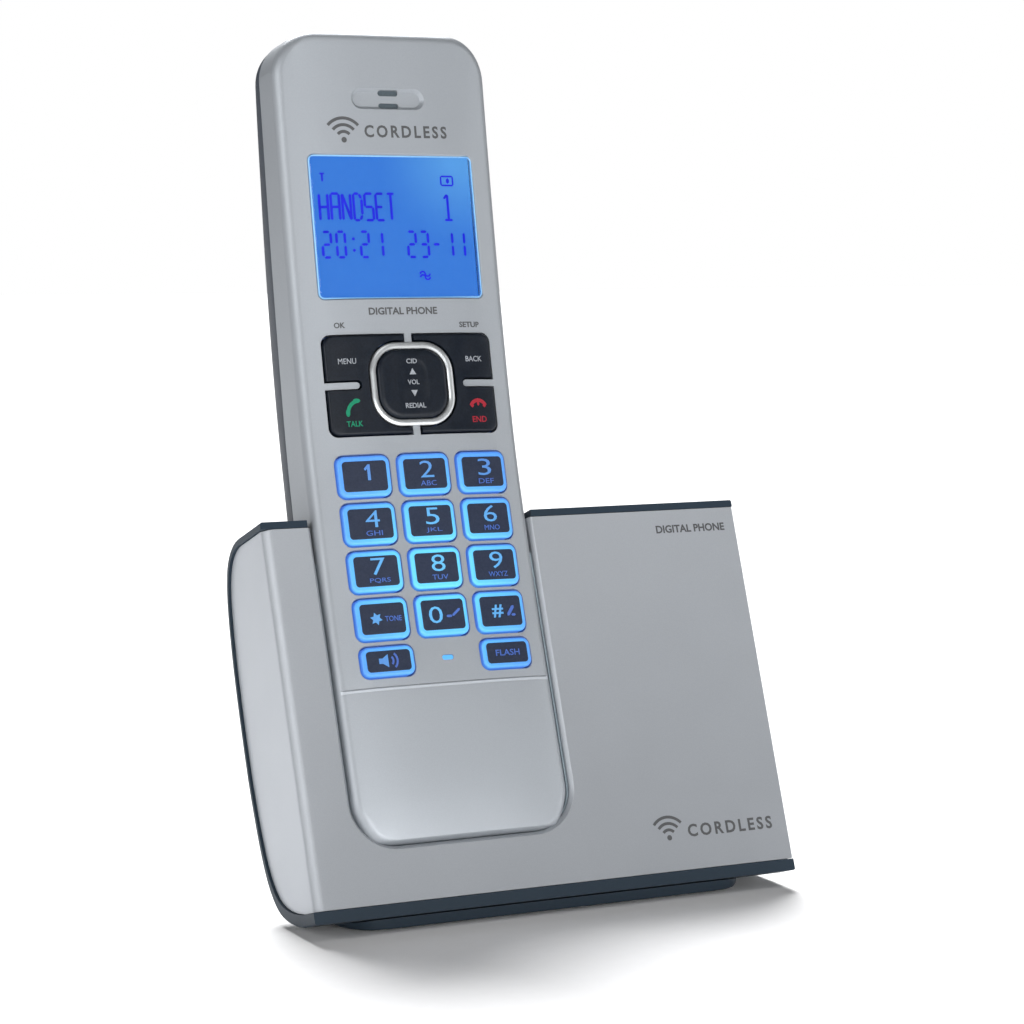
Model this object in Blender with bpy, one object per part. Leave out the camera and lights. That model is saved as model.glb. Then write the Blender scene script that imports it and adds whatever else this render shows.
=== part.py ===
"""Cordless phone with base.

World frame: X to the right, Y to the back, Z up, floor at Z = 0, metres.
Sizes below are millimetres; every piece is built in one of two local spaces
and then placed:
  slab space     (x, n, u): x from the face's left edge, n behind the face,
                 u up the leaning face
  handset space  (x, d, v): x from the handset's middle, d behind its front,
                 v up from its bottom end; the handset is gently bowed
"""
import math

import bmesh
import bpy
from mathutils import Vector

# ---------------------------------------------------------------- base sizes
LEAN = math.radians(19.8)       # backward lean of the base's face
FACE_W = 110.0                  # face width
FACE_H = 77.4                   # face height along the lean
FACE_RISE = 6.6                 # face's lower edge above the floor
DEPTH_SHIFT = -30.71            # centres the object on Y = 0
WALL = 2.0                      # silver wall thickness
RIM_SIDE = 0.6                  # dark housing proud of the silver sides
RIM_TOP, RIM_REAR, RIM_BOTTOM = 1.4, 1.4, 2.5
GAP = 0.3                       # clearance between separate pieces

# ------------------------------------------------------------- handset sizes
HAND_X = 35.2                   # handset middle, from the face's left edge
HAND_U = 11.5                   # handset's bottom end up the face
HAND_W, HAND_L, HAND_R = 48.6, 168.0, 9.0
SHELL = 1.7
FACE_T = 2.2                    # front wall thickness
SEAM = 10.5                     # parting plane depth, before bowing
BACK = 21.0                     # back plane depth, before bowing
CROWN, LIFT = 2.6, 1.5          # the side edges fall behind the middle, which stands proud
BOW_START, BOW_MAX, BOW_SOFT = 38.5, 0.2, 60.0
SEAM_DEPTH = ((0, 11.3), (60, 11.3), (100, 10.8), (150, 9.6), (168, 9.4))
BACK_DEPTH = ((0, 19.4), (24, 19.5), (48, 20.1), (66, 21.7), (84, 23.4), (102, 24.0), (120, 23.4),
              (138, 21.4), (154, 18.5), (168, 15.4))

POCKET_L, POCKET_R, POCKET_U, POCKET_RAD = 9.7, 60.7, 11.0, 10.2
PIN_N = 13.5                    # charging pins, behind the face

KEY_W, KEY_H, KEY_PITCH = 12.0, 8.6, 13.35
KEY_ROWS = (75.4, 65.5, 55.6, 45.7)
LOW_ROW, LOW_H = 36.9, 6.2
KEY_RISE = 0.8
CLUSTER_V, CLUSTER_W, CLUSTER_H = 94.35, 38.6, 21.3
RING_W, RING_H, RING_R = 19.6, 18.1, 6.0
NAV_W, NAV_H, NAV_R = 16.0, 14.9, 4.8
BRIDGE, FINGER, FINGER_TIP = 1.6, 1.4, 11.8
LCD_V, LCD_W, LCD_H = 127.75, 37.4, 30.6
EAR_V, EAR_W, EAR_H = 154.0, 16.5, 4.2
CHIN_V = 31.5
BAY_LO, BAY_HI, BAY_HALF = 76.0, 128.0, 11.6
DOOR_LO, DOOR_HI, DOOR_HALF = 72.2, 131.8, 13.5

SIN, COS = math.sin(LEAN), math.cos(LEAN)
HALF = HAND_W / 2

# outline of the silver side panel, (n, u), starting at the lower front corner
SIDE = ((0, 0), (6, 0.3), (10, 1.1), (13.9, 2.4), (17.0, 4.2), (19.3, 6.8), (21.2, 10.5),
        (22.6, 15.5), (23.6, 22.0), (24.4, 31.0), (24.6, 42.0), (24.4, 52.0), (23.8, 60.0),
        (22.8, 67.0), (21.6, 71.2), (19.9, 74.2), (17.6, 76.2), (14.5, 77.3), (10.0, 77.4),
        (0, 77.4))
# plan of the stand: left half, (x, y) in face coordinates
PLAN = ((17.5, 5.8), (13.0, 6.9), (9.8, 9.6), (8.4, 13.5), (9.2, 22.0), (13.0, 34.0),
        (21.0, 54.0), (23.0, 57.6), (26.5, 60.0), (30.0, 60.6))


# --------------------------------------------------------------- bookkeeping
def clear():
    for ob in list(bpy.data.objects):
        bpy.data.objects.remove(ob, do_unlink=True)


def material(name, rgb, rough, metal=0.0, alpha=1.0, glow=None):
    mat = bpy.data.materials.new(name)
    mat.use_nodes = True
    shader = mat.node_tree.nodes["Principled BSDF"]
    shader.inputs["Base Color"].default_value = (*rgb, 1.0)
    shader.inputs["Roughness"].default_value = rough
    shader.inputs["Metallic"].default_value = metal
    shader.inputs["Alpha"].default_value = alpha
    if glow:
        shader.inputs["Emission Color"].default_value = (*glow, 1.0)
        shader.inputs["Emission Strength"].default_value = 1.0
    return mat


LOOKS = {
    "silver": ((0.38, 0.41, 0.45), 0.38, 0.6),
    "dark": ((0.035, 0.05, 0.068), 0.45, 0.0),
    "liner": ((0.10, 0.115, 0.135), 0.55, 0.0),
    "black": ((0.012, 0.014, 0.02), 0.3, 0.0),
    "glow": ((0.10, 0.38, 0.95), 0.35, 0.0, 1.0, (0.08, 0.32, 0.9)),
    "screen": ((0.05, 0.17, 0.75), 0.12, 0.0, 0.35),
    "lcd": ((0.05, 0.16, 0.7), 0.3, 0.0, 1.0, (0.03, 0.12, 0.6)),
    "rubber": ((0.02, 0.02, 0.022), 0.85, 0.0),
    "mat": ((0.35, 0.5, 0.75), 0.7, 0.0),
    "board": ((0.02, 0.16, 0.07), 0.5, 0.0),
    "metal": ((0.72, 0.7, 0.64), 0.25, 1.0),
    "steel": ((0.5, 0.5, 0.52), 0.3, 1.0),
    "cell": ((0.1, 0.3, 0.16), 0.4, 0.0),
}


def obj(name, verts, faces):
    mesh = bpy.data.meshes.new(name)
    mesh.from_pydata([tuple(v) for v in verts], [], faces)
    mesh.update()
    ob = bpy.data.objects.new(name, mesh)
    bpy.context.scene.collection.objects.link(ob)
    bm = bmesh.new()
    bm.from_mesh(mesh)
    bmesh.ops.recalc_face_normals(bm, faces=bm.faces)
    bm.to_mesh(mesh)
    bm.free()
    return ob


def combine(target, other, kind):
    """Exact boolean of two solids; the second one is used up."""
    mod = target.modifiers.new("cut", "BOOLEAN")
    mod.operation, mod.solver, mod.object = kind, "EXACT", other
    bpy.context.view_layer.update()
    graph = bpy.context.evaluated_depsgraph_get()
    mesh = bpy.data.meshes.new_from_object(target.evaluated_get(graph))
    target.modifiers.clear()
    old = target.data
    target.data = mesh
    bpy.data.meshes.remove(old)
    bpy.data.objects.remove(other, do_unlink=True)
    return target


def cut(target, *others):
    for other in others:
        combine(target, other, "DIFFERENCE")
    return target


def join(target, *others):
    for other in others:
        combine(target, other, "UNION")
    return target


def common(target, other):
    return combine(target, other, "INTERSECT")


# --------------------------------------------------------------- shape tools
def rounded(w, h, r, steps=6):
    """Rounded rectangle around the origin, counter-clockwise."""
    r = max(min(r, w / 2 - 0.01, h / 2 - 0.01), 0.05)
    out = []
    for qx, qz, start in ((1, 1, 0), (-1, 1, 90), (-1, -1, 180), (1, -1, 270)):
        for i in range(steps + 1):
            a = math.radians(start + 90 * i / steps)
            out.append((qx * (w / 2 - r) + r * math.cos(a), qz * (h / 2 - r) + r * math.sin(a)))
    return out


def circle(r, count=24):
    return [(r * math.cos(2 * math.pi * i / count), r * math.sin(2 * math.pi * i / count))
            for i in range(count)]


def loft(name, rings):
    """Solid through rings of equal length, capped at both ends."""
    count = len(rings[0])
    verts = [v for ring in rings for v in ring]
    faces = [list(range(count)), list(range((len(rings) - 1) * count, len(rings) * count))]
    for k in range(len(rings) - 1):
        for i in range(count):
            j = (i + 1) % count
            faces.append([k * count + i, k * count + j, (k + 1) * count + j, (k + 1) * count + i])
    return obj(name, verts, faces)


def slab(name, cx, cz, w, h, r, levels, steps=6):
    """Rounded plate lying in X-Z; levels are (y, inset) pairs from front to back."""
    rings = []
    for y, inset in levels:
        rings.append([(cx + px, y, cz + pz)
                      for px, pz in rounded(w - 2 * inset, h - 2 * inset, max(r - inset, 0.3), steps)])
    return loft(name, rings)


def box(name, x0, x1, y0, y1, z0, z1):
    return loft(name, [[(x0, y, z0), (x1, y, z0), (x1, y, z1), (x0, y, z1)] for y in (y0, y1)])


def prism_x(name, outline, x0, x1):
    return loft(name, [[(x, a, b) for a, b in outline] for x in (x0, x1)])


def drum(name, cx, cz, levels, count=24):
    """Turned piece along Y; levels are (y, radius) pairs."""
    return loft(name, [[(cx + px, y, cz + pz) for px, pz in circle(r, count)] for y, r in levels])


def drum_z(name, cx, cy, levels, count=24):
    return loft(name, [[(cx + px, cy + py, z) for px, py in circle(r, count)] for z, r in levels])


def grow(outline, amount):
    """Offset a closed (a, b) outline outwards; amount may depend on the normal."""
    area = sum(outline[i - 1][0] * outline[i][1] - outline[i][0] * outline[i - 1][1]
               for i in range(len(outline)))
    sign = 1.0 if area > 0 else -1.0
    out = []
    for i, (a, b) in enumerate(outline):
        pa, pb = outline[i - 1]
        na, nb = outline[(i + 1) % len(outline)]
        e0 = Vector((a - pa, b - pb)).normalized()
        e1 = Vector((na - a, nb - b)).normalized()
        n0 = Vector((e0.y, -e0.x)) * sign
        n1 = Vector((e1.y, -e1.x)) * sign
        s0 = amount(n0) if callable(amount) else amount
        s1 = amount(n1) if callable(amount) else amount
        det = n0.x * n1.y - n0.y * n1.x
        if abs(det) < 0.05:
            m = (n0 + n1).normalized()
            out.append((a + m.x * (s0 + s1) / 2, b + m.y * (s0 + s1) / 2))
        else:
            out.append((a + (s0 * n1.y - s1 * n0.y) / det, b + (s1 * n0.x - s0 * n1.x) / det))
    return out


def chamfer_top(ob, level, size):
    """Break the sharp edge around the face lying at y = level."""
    bm = bmesh.new()
    bm.from_mesh(ob.data)
    picked = []
    for e in bm.edges:
        if all(abs(v.co.y - level) < 1e-4 for v in e.verts):
            tops = [f for f in e.link_faces if all(abs(v.co.y - level) < 1e-4 for v in f.verts)]
            if len(tops) == 1:
                picked.append(e)
    bmesh.ops.bevel(bm, geom=picked, offset=size, segments=2, affect="EDGES", profile=0.6)
    bm.to_mesh(ob.data)
    bm.free()


def weld(ob, distance=0.002):
    bm = bmesh.new()
    bm.from_mesh(ob.data)
    bmesh.ops.remove_doubles(bm, verts=bm.verts, dist=distance)
    bmesh.ops.dissolve_degenerate(bm, dist=distance / 2, edges=bm.edges)
    bm.to_mesh(ob.data)
    bm.free()


def lattice(ob, step_x, step_z):
    """Split long faces so that bowing the piece keeps them smooth."""
    bm = bmesh.new()
    bm.from_mesh(ob.data)
    for axis, step in ((2, step_z), (0, step_x)):
        if not step:
            continue
        lo = min(v.co[axis] for v in bm.verts)
        hi = max(v.co[axis] for v in bm.verts)
        first = math.ceil(lo / step) * step
        for i in range(int((hi - first) / step) + 1):
            level = first + i * step + 0.0137
            if lo + 0.4 < level < hi - 0.4:
                normal = Vector([1.0 if k == axis else 0.0 for k in range(3)])
                bmesh.ops.bisect_plane(bm, geom=bm.verts[:] + bm.edges[:] + bm.faces[:], dist=1e-4,
                                       plane_co=normal * level, plane_no=normal)
    bmesh.ops.triangulate(bm, faces=[f for f in bm.faces if len(f.verts) > 4])
    bm.to_mesh(ob.data)
    bm.free()


# ------------------------------------------------------------------ placement
def slab_point(x, n, u):
    """Slab space to world, metres."""
    return Vector((x - FACE_W / 2, n * COS + u * SIN + DEPTH_SHIFT,
                   FACE_RISE - n * SIN + u * COS)) / 1000.0


def blend(table, v):
    """Smooth curve through a table of (v, value)."""
    v = min(max(v, table[0][0]), table[-1][0])
    for i in range(len(table) - 1):
        (a, p), (b, q) = table[i], table[i + 1]
        if v <= b:
            before, after = table[max(i - 1, 0)], table[min(i + 2, len(table) - 1)]
            span, t = b - a, (v - a) / (b - a)
            m0 = (q - before[1]) / (b - before[0]) * span
            m1 = (after[1] - p) / (after[0] - a) * span
            t2, t3 = t * t, t * t * t
            return (p * (2 * t3 - 3 * t2 + 1) + q * (3 * t2 - 2 * t3)
                    + m0 * (t3 - 2 * t2 + t) + m1 * (t3 - t2))
    return table[-1][1]


def bow(v):
    """Front line of the handset: offset and slope towards the viewer."""
    q = v - BOW_START
    if q <= 0:
        return 0.0, 0.0
    fade = math.exp(-q / BOW_SOFT)
    return -BOW_MAX * (q - BOW_SOFT * (1 - fade)), -BOW_MAX * (1 - fade)


def hand_point(x, d, v):
    """Handset space to world, metres."""
    seam, back = blend(SEAM_DEPTH, v), blend(BACK_DEPTH, v)
    if d <= SEAM:
        y = d * seam / SEAM + (CROWN * (x / HALF) ** 4 - LIFT) * max(0.0, 1 - max(d, 0.0) / 8)
    else:
        y = seam + (d - SEAM) * (back - seam) / (BACK - SEAM)
    offset, slope = bow(v)
    run = math.hypot(1.0, slope)
    return slab_point(HAND_X + x, offset + y / run, HAND_U + v - slope * y / run)


def finish(ob, look, place, origin=(0.0, 0.0, 0.0)):
    """Move vertices with place, put the object's origin, give it a material."""
    weld(ob)
    base = Vector(origin)
    for vert in ob.data.vertices:
        vert.co = place(*vert.co) - base
    ob.location = base
    bm = bmesh.new()
    bm.from_mesh(ob.data)
    bmesh.ops.recalc_face_normals(bm, faces=bm.faces)
    bm.to_mesh(ob.data)
    bm.free()
    ob.data.materials.clear()
    ob.data.materials.append(material(ob.name, *LOOKS[look]))
    ob.data.shade_smooth()
    ob.data.set_sharp_from_angle(angle=math.radians(32))
    return ob


def flat(x, y, z):
    return Vector((x - FACE_W / 2, y + DEPTH_SHIFT, z)) / 1000.0


def rigid(v0):
    """Straight placement square to the handset's front at v0; y is true depth."""
    offset, slope = bow(v0)
    run = math.hypot(1.0, slope)

    def place(x, y, v):
        s = v - v0
        return slab_point(HAND_X + x, offset + (s * slope + y) / run,
                          HAND_U + v0 + (s - slope * y) / run)
    return place


# --------------------------------------------------------------- key outlines
def cluster(name, y0, y1, shrink):
    """Everything the two C shaped keys may fill, shrunk by a clearance."""
    body = slab(name, 0, CLUSTER_V, CLUSTER_W - 2 * shrink, CLUSTER_H - 2 * shrink, 2.0,
                ((y0, 0), (y1, 0)), 4)
    ring = slab("ring", 0, CLUSTER_V, RING_W + 2 * shrink, RING_H + 2 * shrink, RING_R + shrink,
                ((y0 - 1, 0), (y1 + 1, 0)), 8)
    reach = BRIDGE / 2 + shrink
    bridge = box("bridge", -reach, reach, y0 - 1, y1 + 1, CLUSTER_V - 15, CLUSTER_V + 15)
    tall = FINGER / 2 + shrink
    left = box("left", -30, -FINGER_TIP + shrink, y0 - 1, y1 + 1, CLUSTER_V - tall, CLUSTER_V + tall)
    right = box("right", FINGER_TIP - shrink, 30, y0 - 1, y1 + 1, CLUSTER_V - tall, CLUSTER_V + tall)
    return cut(body, ring, bridge, left, right)


def digit_places():
    names = ("1", "2", "3", "4", "5", "6", "7", "8", "9", "star", "0", "hash")
    for i, name in enumerate(names):
        yield "key_" + name, (i % 3 - 1) * KEY_PITCH, KEY_ROWS[i // 3], KEY_H
    yield "key_speaker", -KEY_PITCH, LOW_ROW, LOW_H
    yield "key_flash", KEY_PITCH, LOW_ROW, LOW_H


# -------------------------------------------------------------------- handset
def front_shell():
    mid = HAND_L / 2
    levels = ((0, 1.7), (0.12, 1.15), (0.42, 0.55), (0.95, 0.15), (1.7, 0.0), (SEAM - 0.15, 0.0),
              (SEAM - 0.15, SHELL), (FACE_T, SHELL))
    shell = slab("handset_front_shell", 0, mid, HAND_W, HAND_L, HAND_R, levels, 7)
    holes = slab("holes", 0, LCD_V, LCD_W, LCD_H, 1.2, ((-3, 0), (5, 0)), 3)
    for name, x, v, h in digit_places():
        holes = join(holes, slab("hole", x, v, KEY_W + 2 * GAP, h + 2 * GAP, 1.9, ((-3, 0), (5, 0)), 4))
    holes = join(holes, slab("nav", 0, CLUSTER_V, NAV_W + 0.7, NAV_H + 0.7, NAV_R + 0.3,
                             ((-3, 0), (5, 0)), 6))
    cut(shell, holes)
    cut(shell, cluster("keys", -3, 5, 0.0))
    cut(shell, slab("recess", 0, EAR_V, EAR_W, EAR_H, 2.1, ((-2, 0), (0.1, 0.15), (0.7, 0.5)), 6))
    for dv in (1.35, -1.35):
        cut(shell, slab("slot", 0.4, EAR_V + dv, 4.6, 1.2, 0.6, ((-2, 0), (5, 0)), 4))
    cut(shell, slab("mic", 0, LOW_ROW, 2.6, 1.1, 0.55, ((-2, 0), (5, 0)), 4))
    cut(shell, box("chin", -30, 30, -3, 0.38, CHIN_V - 0.3, CHIN_V + 0.3))
    ring = slab("ring", 0, CLUSTER_V, RING_W, RING_H, RING_R, ((-0.55, 0.45), (-0.35, 0.1), (0.8, 0)), 8)
    cut(ring, slab("inner", 0, CLUSTER_V, NAV_W + 0.7, NAV_H + 0.7, NAV_R + 0.3, ((-3, 0), (5, 0)), 6))
    join(shell, ring)
    lattice(shell, 8.1, 7.0)
    return finish(shell, "silver", hand_point)


def rear_shell():
    mid = HAND_L / 2
    outer = ((SEAM + 0.15, 0.15), (14.2, 0.3), (16.6, 1.2), (18.6, 2.9), (20.1, 5.6), (21, 9.6))
    inner = ((10.0, 1.9), (14.2, 2.0), (16.2, 2.9), (17.8, 4.6), (19.2, 7.4))
    shell = slab("handset_rear_shell", 0, mid, HAND_W, HAND_L, HAND_R, outer, 6)
    cut(shell, slab("hollow", 0, mid, HAND_W, HAND_L, HAND_R, inner, 6))
    # battery bay, door seat and screw bosses
    bay_mid, bay_len = (BAY_LO + BAY_HI) / 2, BAY_HI - BAY_LO
    join(shell, slab("bay", 0, bay_mid, 2 * BAY_HALF + 2.4, bay_len + 2.4, 1.0, ((8.9, 0), (19.6, 0)), 2))
    join(shell, slab("seat", 0, (DOOR_LO + DOOR_HI) / 2, 2 * DOOR_HALF + 3.0, DOOR_HI - DOOR_LO + 3.0,
                     1.5, ((17.6, 0), (19.9, 0)), 3))
    for x in (-12.5, 12.5):
        join(shell, drum("boss", x, 15.0, ((13.6, 3.9), (20.2, 3.9)), 16))
    cut(shell, slab("bay_cut", 0, bay_mid, 2 * BAY_HALF, bay_len, 0.6, ((9.9, 0), (23, 0)), 2))
    cut(shell, slab("door_cut", 0, (DOOR_LO + DOOR_HI) / 2, 2 * DOOR_HALF, DOOR_HI - DOOR_LO, 1.6,
                    ((19.3, 0), (24, 0)), 4))
    for x in (-12.5, 12.5):
        cut(shell, drum("bore", x, 15.0, ((12, 1.35), (18.4, 1.35), (18.4, 2.7), (24, 2.7)), 20))
    for k in range(5):
        cut(shell, slab("slot", 0, 142.0 + 2.6 * k, 12.0 - 1.3 * abs(k - 2), 1.2, 0.55,
                        ((17, 0), (24, 0)), 3))
    for x in (-9.0, 9.0):
        cut(shell, box("contact", x - 2.2, x + 2.2, 11.2, 15.6, -2, 5))
    lattice(shell, 0, 7.0)
    return finish(shell, "dark", hand_point)


def door_piece():
    mid = (DOOR_LO + DOOR_HI) / 2
    w, h = 2 * DOOR_HALF - 2 * GAP, DOOR_HI - DOOR_LO - 2 * GAP
    door = slab("battery_door", 0, mid, w, h, 1.4, ((19.55, 0), (20.85, 0), (21.0, 0.2)), 4)
    for k in range(4):
        cut(door, box("grip", -5 + 0.6 * k, 5 - 0.6 * k, 20.7, 23, DOOR_LO + 4 + 1.6 * k,
                      DOOR_LO + 4.7 + 1.6 * k))
    lattice(door, 0, 7.0)
    axis = hand_point(0, 20.9, DOOR_HI - GAP)
    return finish(door, "dark", hand_point, axis)


def hand_keys():
    for name, x, v, h in digit_places():
        key = slab(name, x, v, KEY_W, h, 1.6,
                   ((-KEY_RISE, 0.5), (-KEY_RISE + 0.12, 0.18), (-KEY_RISE + 0.42, 0), (3.3, 0)), 4)
        finish(key, "glow", hand_point, hand_point(x, 0, v))
    nav = slab("nav_key", 0, CLUSTER_V, NAV_W, NAV_H, NAV_R,
               ((-0.75, 0.9), (-0.6, 0.35), (-0.2, 0), (3.2, 0)), 6)
    cut(nav, slab("dish", 0, CLUSTER_V, 7.0, 10.0, 2.6, ((-3, -0.6), (-0.58, 0)), 4))
    finish(nav, "black", hand_point, hand_point(0, 1.5, CLUSTER_V))
    for name, side in (("function_key_left", -1), ("function_key_right", 1)):
        key = cluster(name, -0.55, 3.2, 0.35)
        edge = BRIDGE / 4
        cut(key, box("half", -side * edge, -side * 40, -4, 8, 60, 120))
        chamfer_top(key, -0.55, 0.22)
        lattice(key, 5.0, 0)
        finish(key, "black", hand_point, hand_point(side * 14, 1.5, CLUSTER_V))


def hand_insides():
    finish(slab("lcd_window", 0, LCD_V, LCD_W - 0.6, LCD_H - 0.6, 0.9,
                ((0.1, 0.25), (0.25, 0), (1.0, 0)), 3), "screen", hand_point)
    finish(slab("lcd_module", 0, LCD_V, 41, 34, 1.0, ((1.3, 2.2), (2.7, 2.2), (2.7, 0), (5.0, 0)), 2),
           "lcd", hand_point)
    finish(slab("lcd_light_plate", 0, LCD_V, 39, 32, 1.0, ((5.4, 0), (6.4, 0)), 2), "mat", hand_point)
    mat = slab("keypad_mat", 0, 69.0, 41, 74, 2.0, ((4.5, 0), (5.2, 0)), 3)
    lattice(mat, 8.1, 8.0)
    finish(mat, "mat", hand_point)
    board = slab("handset_pcb", 0, 64.0, 40, 84, 1.5, ((6.4, 0), (7.4, 0)), 2)
    finish(board, "board", rigid(64.0))
    ear = drum("earpiece_speaker", 0, EAR_V, ((2.9, 7.6), (3.3, 8.6), (5.0, 8.6), (5.3, 5.4), (6.6, 5.2)), 24)
    finish(ear, "steel", rigid(EAR_V))
    ring = drum("ringer_speaker", 0, 147.2, ((11.2, 5.0), (12.4, 5.2), (12.8, 7.6), (15.6, 7.6), (16.0, 6.8)), 24)
    finish(ring, "steel", rigid(147.2))
    finish(drum("microphone", 0, LOW_ROW, ((2.6, 1.9), (2.7, 2.0), (4.1, 2.0)), 16), "steel", hand_point)
    for name, x in (("battery_cell_left", -5.55), ("battery_cell_right", 5.55)):
        mid = (BAY_LO + BAY_HI) / 2
        cell = drum_z(name, x, 16.1, ((mid - 22.0, 4.6), (mid - 21.6, 5.1), (mid + 20.6, 5.1),
                                      (mid + 21.0, 4.6), (mid + 21.0, 1.9), (mid + 22.0, 1.8)), 24)
        finish(cell, "cell", rigid(mid))
    for name, v in (("battery_contact_bottom", BAY_LO + 0.5), ("battery_contact_top", BAY_HI - 1.1)):
        finish(box(name, -10.6, 10.6, 11.2, 18.0, v, v + 0.6), "metal", hand_point)
    for name, x in (("handset_contact_left", -9.0), ("handset_contact_right", 9.0)):
        finish(box(name, x - 3.0, x + 3.0, 10.9, 15.9, 3.2, 3.9), "metal", hand_point)
    for name, x in (("handset_screw_left", -12.5), ("handset_screw_right", 12.5)):
        screw = drum(name, x, 15.0, ((12.6, 0.6), (13.2, 1.0), (18.7, 1.0), (18.7, 2.3), (19.9, 2.3),
                                     (20.2, 1.9)), 20)
        for w, h in ((2.6, 0.5), (0.5, 2.6)):
            cut(screw, box("slot", x - w / 2, x + w / 2, 19.4, 22, 15 - h / 2, 15 + h / 2))
        finish(screw, "steel", hand_point)


# ----------------------------------------------------------------------- base
def rim_growth(normal):
    """Dark housing's thickness outside the silver, by facing direction (n, u)."""
    if normal.y > 0.5:
        return RIM_TOP
    low = max(0.0, -normal.y)
    return RIM_REAR + (RIM_BOTTOM - RIM_REAR) * low


def rim_outline(extra=0.0):
    inner = [p for p in SIDE]
    outline = grow(inner, lambda n: 0.0 if n.x < -0.9 else rim_growth(n) + extra)
    return outline


def pocket_cut(name, grow_by, n0, n1, top=95.0, flare=0.0):
    """U shaped cutter, open at the top; flare widens its front."""
    rings = []
    for n, extra in ((n0, flare), (n0 + 3 + flare, flare), (n0 + 3 + 2 * flare, 0), (n1, 0)) if flare \
            else ((n0, 0), (n1, 0)):
        left, right = POCKET_L - grow_by - extra, POCKET_R + grow_by + extra
        low, rad = POCKET_U - grow_by - extra, POCKET_RAD + grow_by + extra
        ring = [(right, n, top), (left, n, top)]
        for cx, start in ((left + rad, 180), (right - rad, 270)):
            for i in range(9):
                a = math.radians(start + 90 * i / 8)
                ring.append((cx + rad * math.cos(a), n, low + rad + rad * math.sin(a)))
        rings.append(ring)
    return loft(name, rings)


def inner_side(amount, front=0.0):
    """Side outline moved in by a negative amount, its front edge kept at n = front."""
    pts = grow(SIDE, lambda n: front if n.x < -0.9 else amount)
    return pts


def base_front():
    body = prism_x("base_front_shell", SIDE, 0, FACE_W)
    bm = bmesh.new()
    bm.from_mesh(body.data)
    edges = [e for e in bm.edges if all(abs(v.co.y) < 1e-4 for v in e.verts)
             and abs(e.verts[0].co.x - e.verts[1].co.x) < 1e-4]
    bmesh.ops.bevel(bm, geom=edges, offset=0.9, segments=3, affect="EDGES", profile=0.5)
    bm.to_mesh(body.data)
    bm.free()
    cut(body, box("inside", WALL, FACE_W - WALL, WALL, 60, -30, 120))
    cut(body, pocket_cut("pocket", 0, -3, 40, flare=0.45))
    return finish(body, "silver", slab_point)


def base_rear():
    outer = prism_x("base_rear_housing", rim_outline(), -RIM_SIDE, FACE_W + RIM_SIDE)
    seat = prism_x("seat", grow(SIDE, lambda n: 4.0 if n.x < -0.9 else GAP), -9, FACE_W + 9)
    cut(outer, seat)
    mid = prism_x("mid", grow(SIDE, lambda n: -0.0 if n.x < -0.9 else 0.7), WALL + GAP,
                  FACE_W - WALL - GAP)
    cut(mid, prism_x("core", grow(SIDE, lambda n: 4.0 if n.x < -0.9 else -1.6), -9, FACE_W + 9))
    cut(mid, box("plate", -9, 130, -9, WALL + GAP, -30, 120))
    join(outer, mid)
    cut(outer, box("mouth", POCKET_L - 1.55, POCKET_R + 1.55, -9, 21.5, 58, 120))
    cut(outer, box("rim_gap", POCKET_L - 1.55, POCKET_R + 1.55, -9, 60, 71.5, 120))
    cut(outer, drum("button", 88.0, 56.0, ((18, 4.8), (30, 4.8)), 24))
    return finish(outer, "dark", slab_point)


def liner():
    """Tub behind the face; its back follows the housing and stops below the mouth."""
    body = pocket_cut("cradle_liner", 1.25, WALL + GAP, 40, top=90.0)
    common(body, prism_x("limit", inner_side(-1.9), -9, FACE_W + 9))
    inner = pocket_cut("inner", 0, -4, 40, top=95.0)
    follow = [(-9, -9)] + [p for p in inner_side(-3.1, -9) if p[0] > 1 and p[1] < 58] + \
        [(21.0, 58), (40, 58), (40, 120), (-9, 120)]
    common(inner, prism_x("follow", follow, -9, FACE_W + 9))
    cut(body, inner)
    for x in (HAND_X - 9, HAND_X + 9):
        join(body, box("rib", x - 0.9, x + 0.9, 20.4, 21.6, 30, 55))
        cut(body, box("pin", x - 1.4, x + 1.4, PIN_N - 1.4, PIN_N + 1.4, 2, 20))
    return finish(body, "liner", slab_point)


def base_insides():
    board = slab("base_pcb", 85.5, 40.0, 38, 54, 1.5, ((9.0, 0), (10.2, 0)), 2)
    finish(board, "board", slab_point)
    for name, x in (("charge_pin_left", HAND_X - 9), ("charge_pin_right", HAND_X + 9)):
        pin = drum_z(name, x, PIN_N, ((7.4, 1.9), (8.2, 1.9), (8.2, 1.05), (13.9, 1.05), (14.4, 0.6)), 16)
        finish(pin, "metal", slab_point, slab_point(x, PIN_N, 14.4))
    button = drum("page_button", 88.0, 56.0, ((20.0, 5.6), (21.2, 5.6), (21.2, 4.5), (26.3, 4.5),
                                              (26.7, 4.0)), 24)
    finish(button, "dark", slab_point, slab_point(88.0, 26.7, 56.0))


def plan_outline(inset=0.0, low_y=None):
    left = list(PLAN)
    full = left + [(FACE_W - x, y) for x, y in reversed(left)]
    out = grow(full, -inset)
    if low_y is not None:
        out = [(x, max(y, low_y)) for x, y in out]
    return out


def prism_z(name, outline, z0, z1):
    return loft(name, [[(x, y, z) for x, y in outline] for z in (z0, z1)])


def slab_shadow(name, extra):
    """The housing's outline, grown and turned into upright coordinates (y, z)."""
    pts = rim_outline(extra)
    pts = [(n * COS + u * SIN, FACE_RISE - n * SIN + u * COS) for n, u in pts]
    return prism_x(name, pts, -20, 130)


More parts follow.
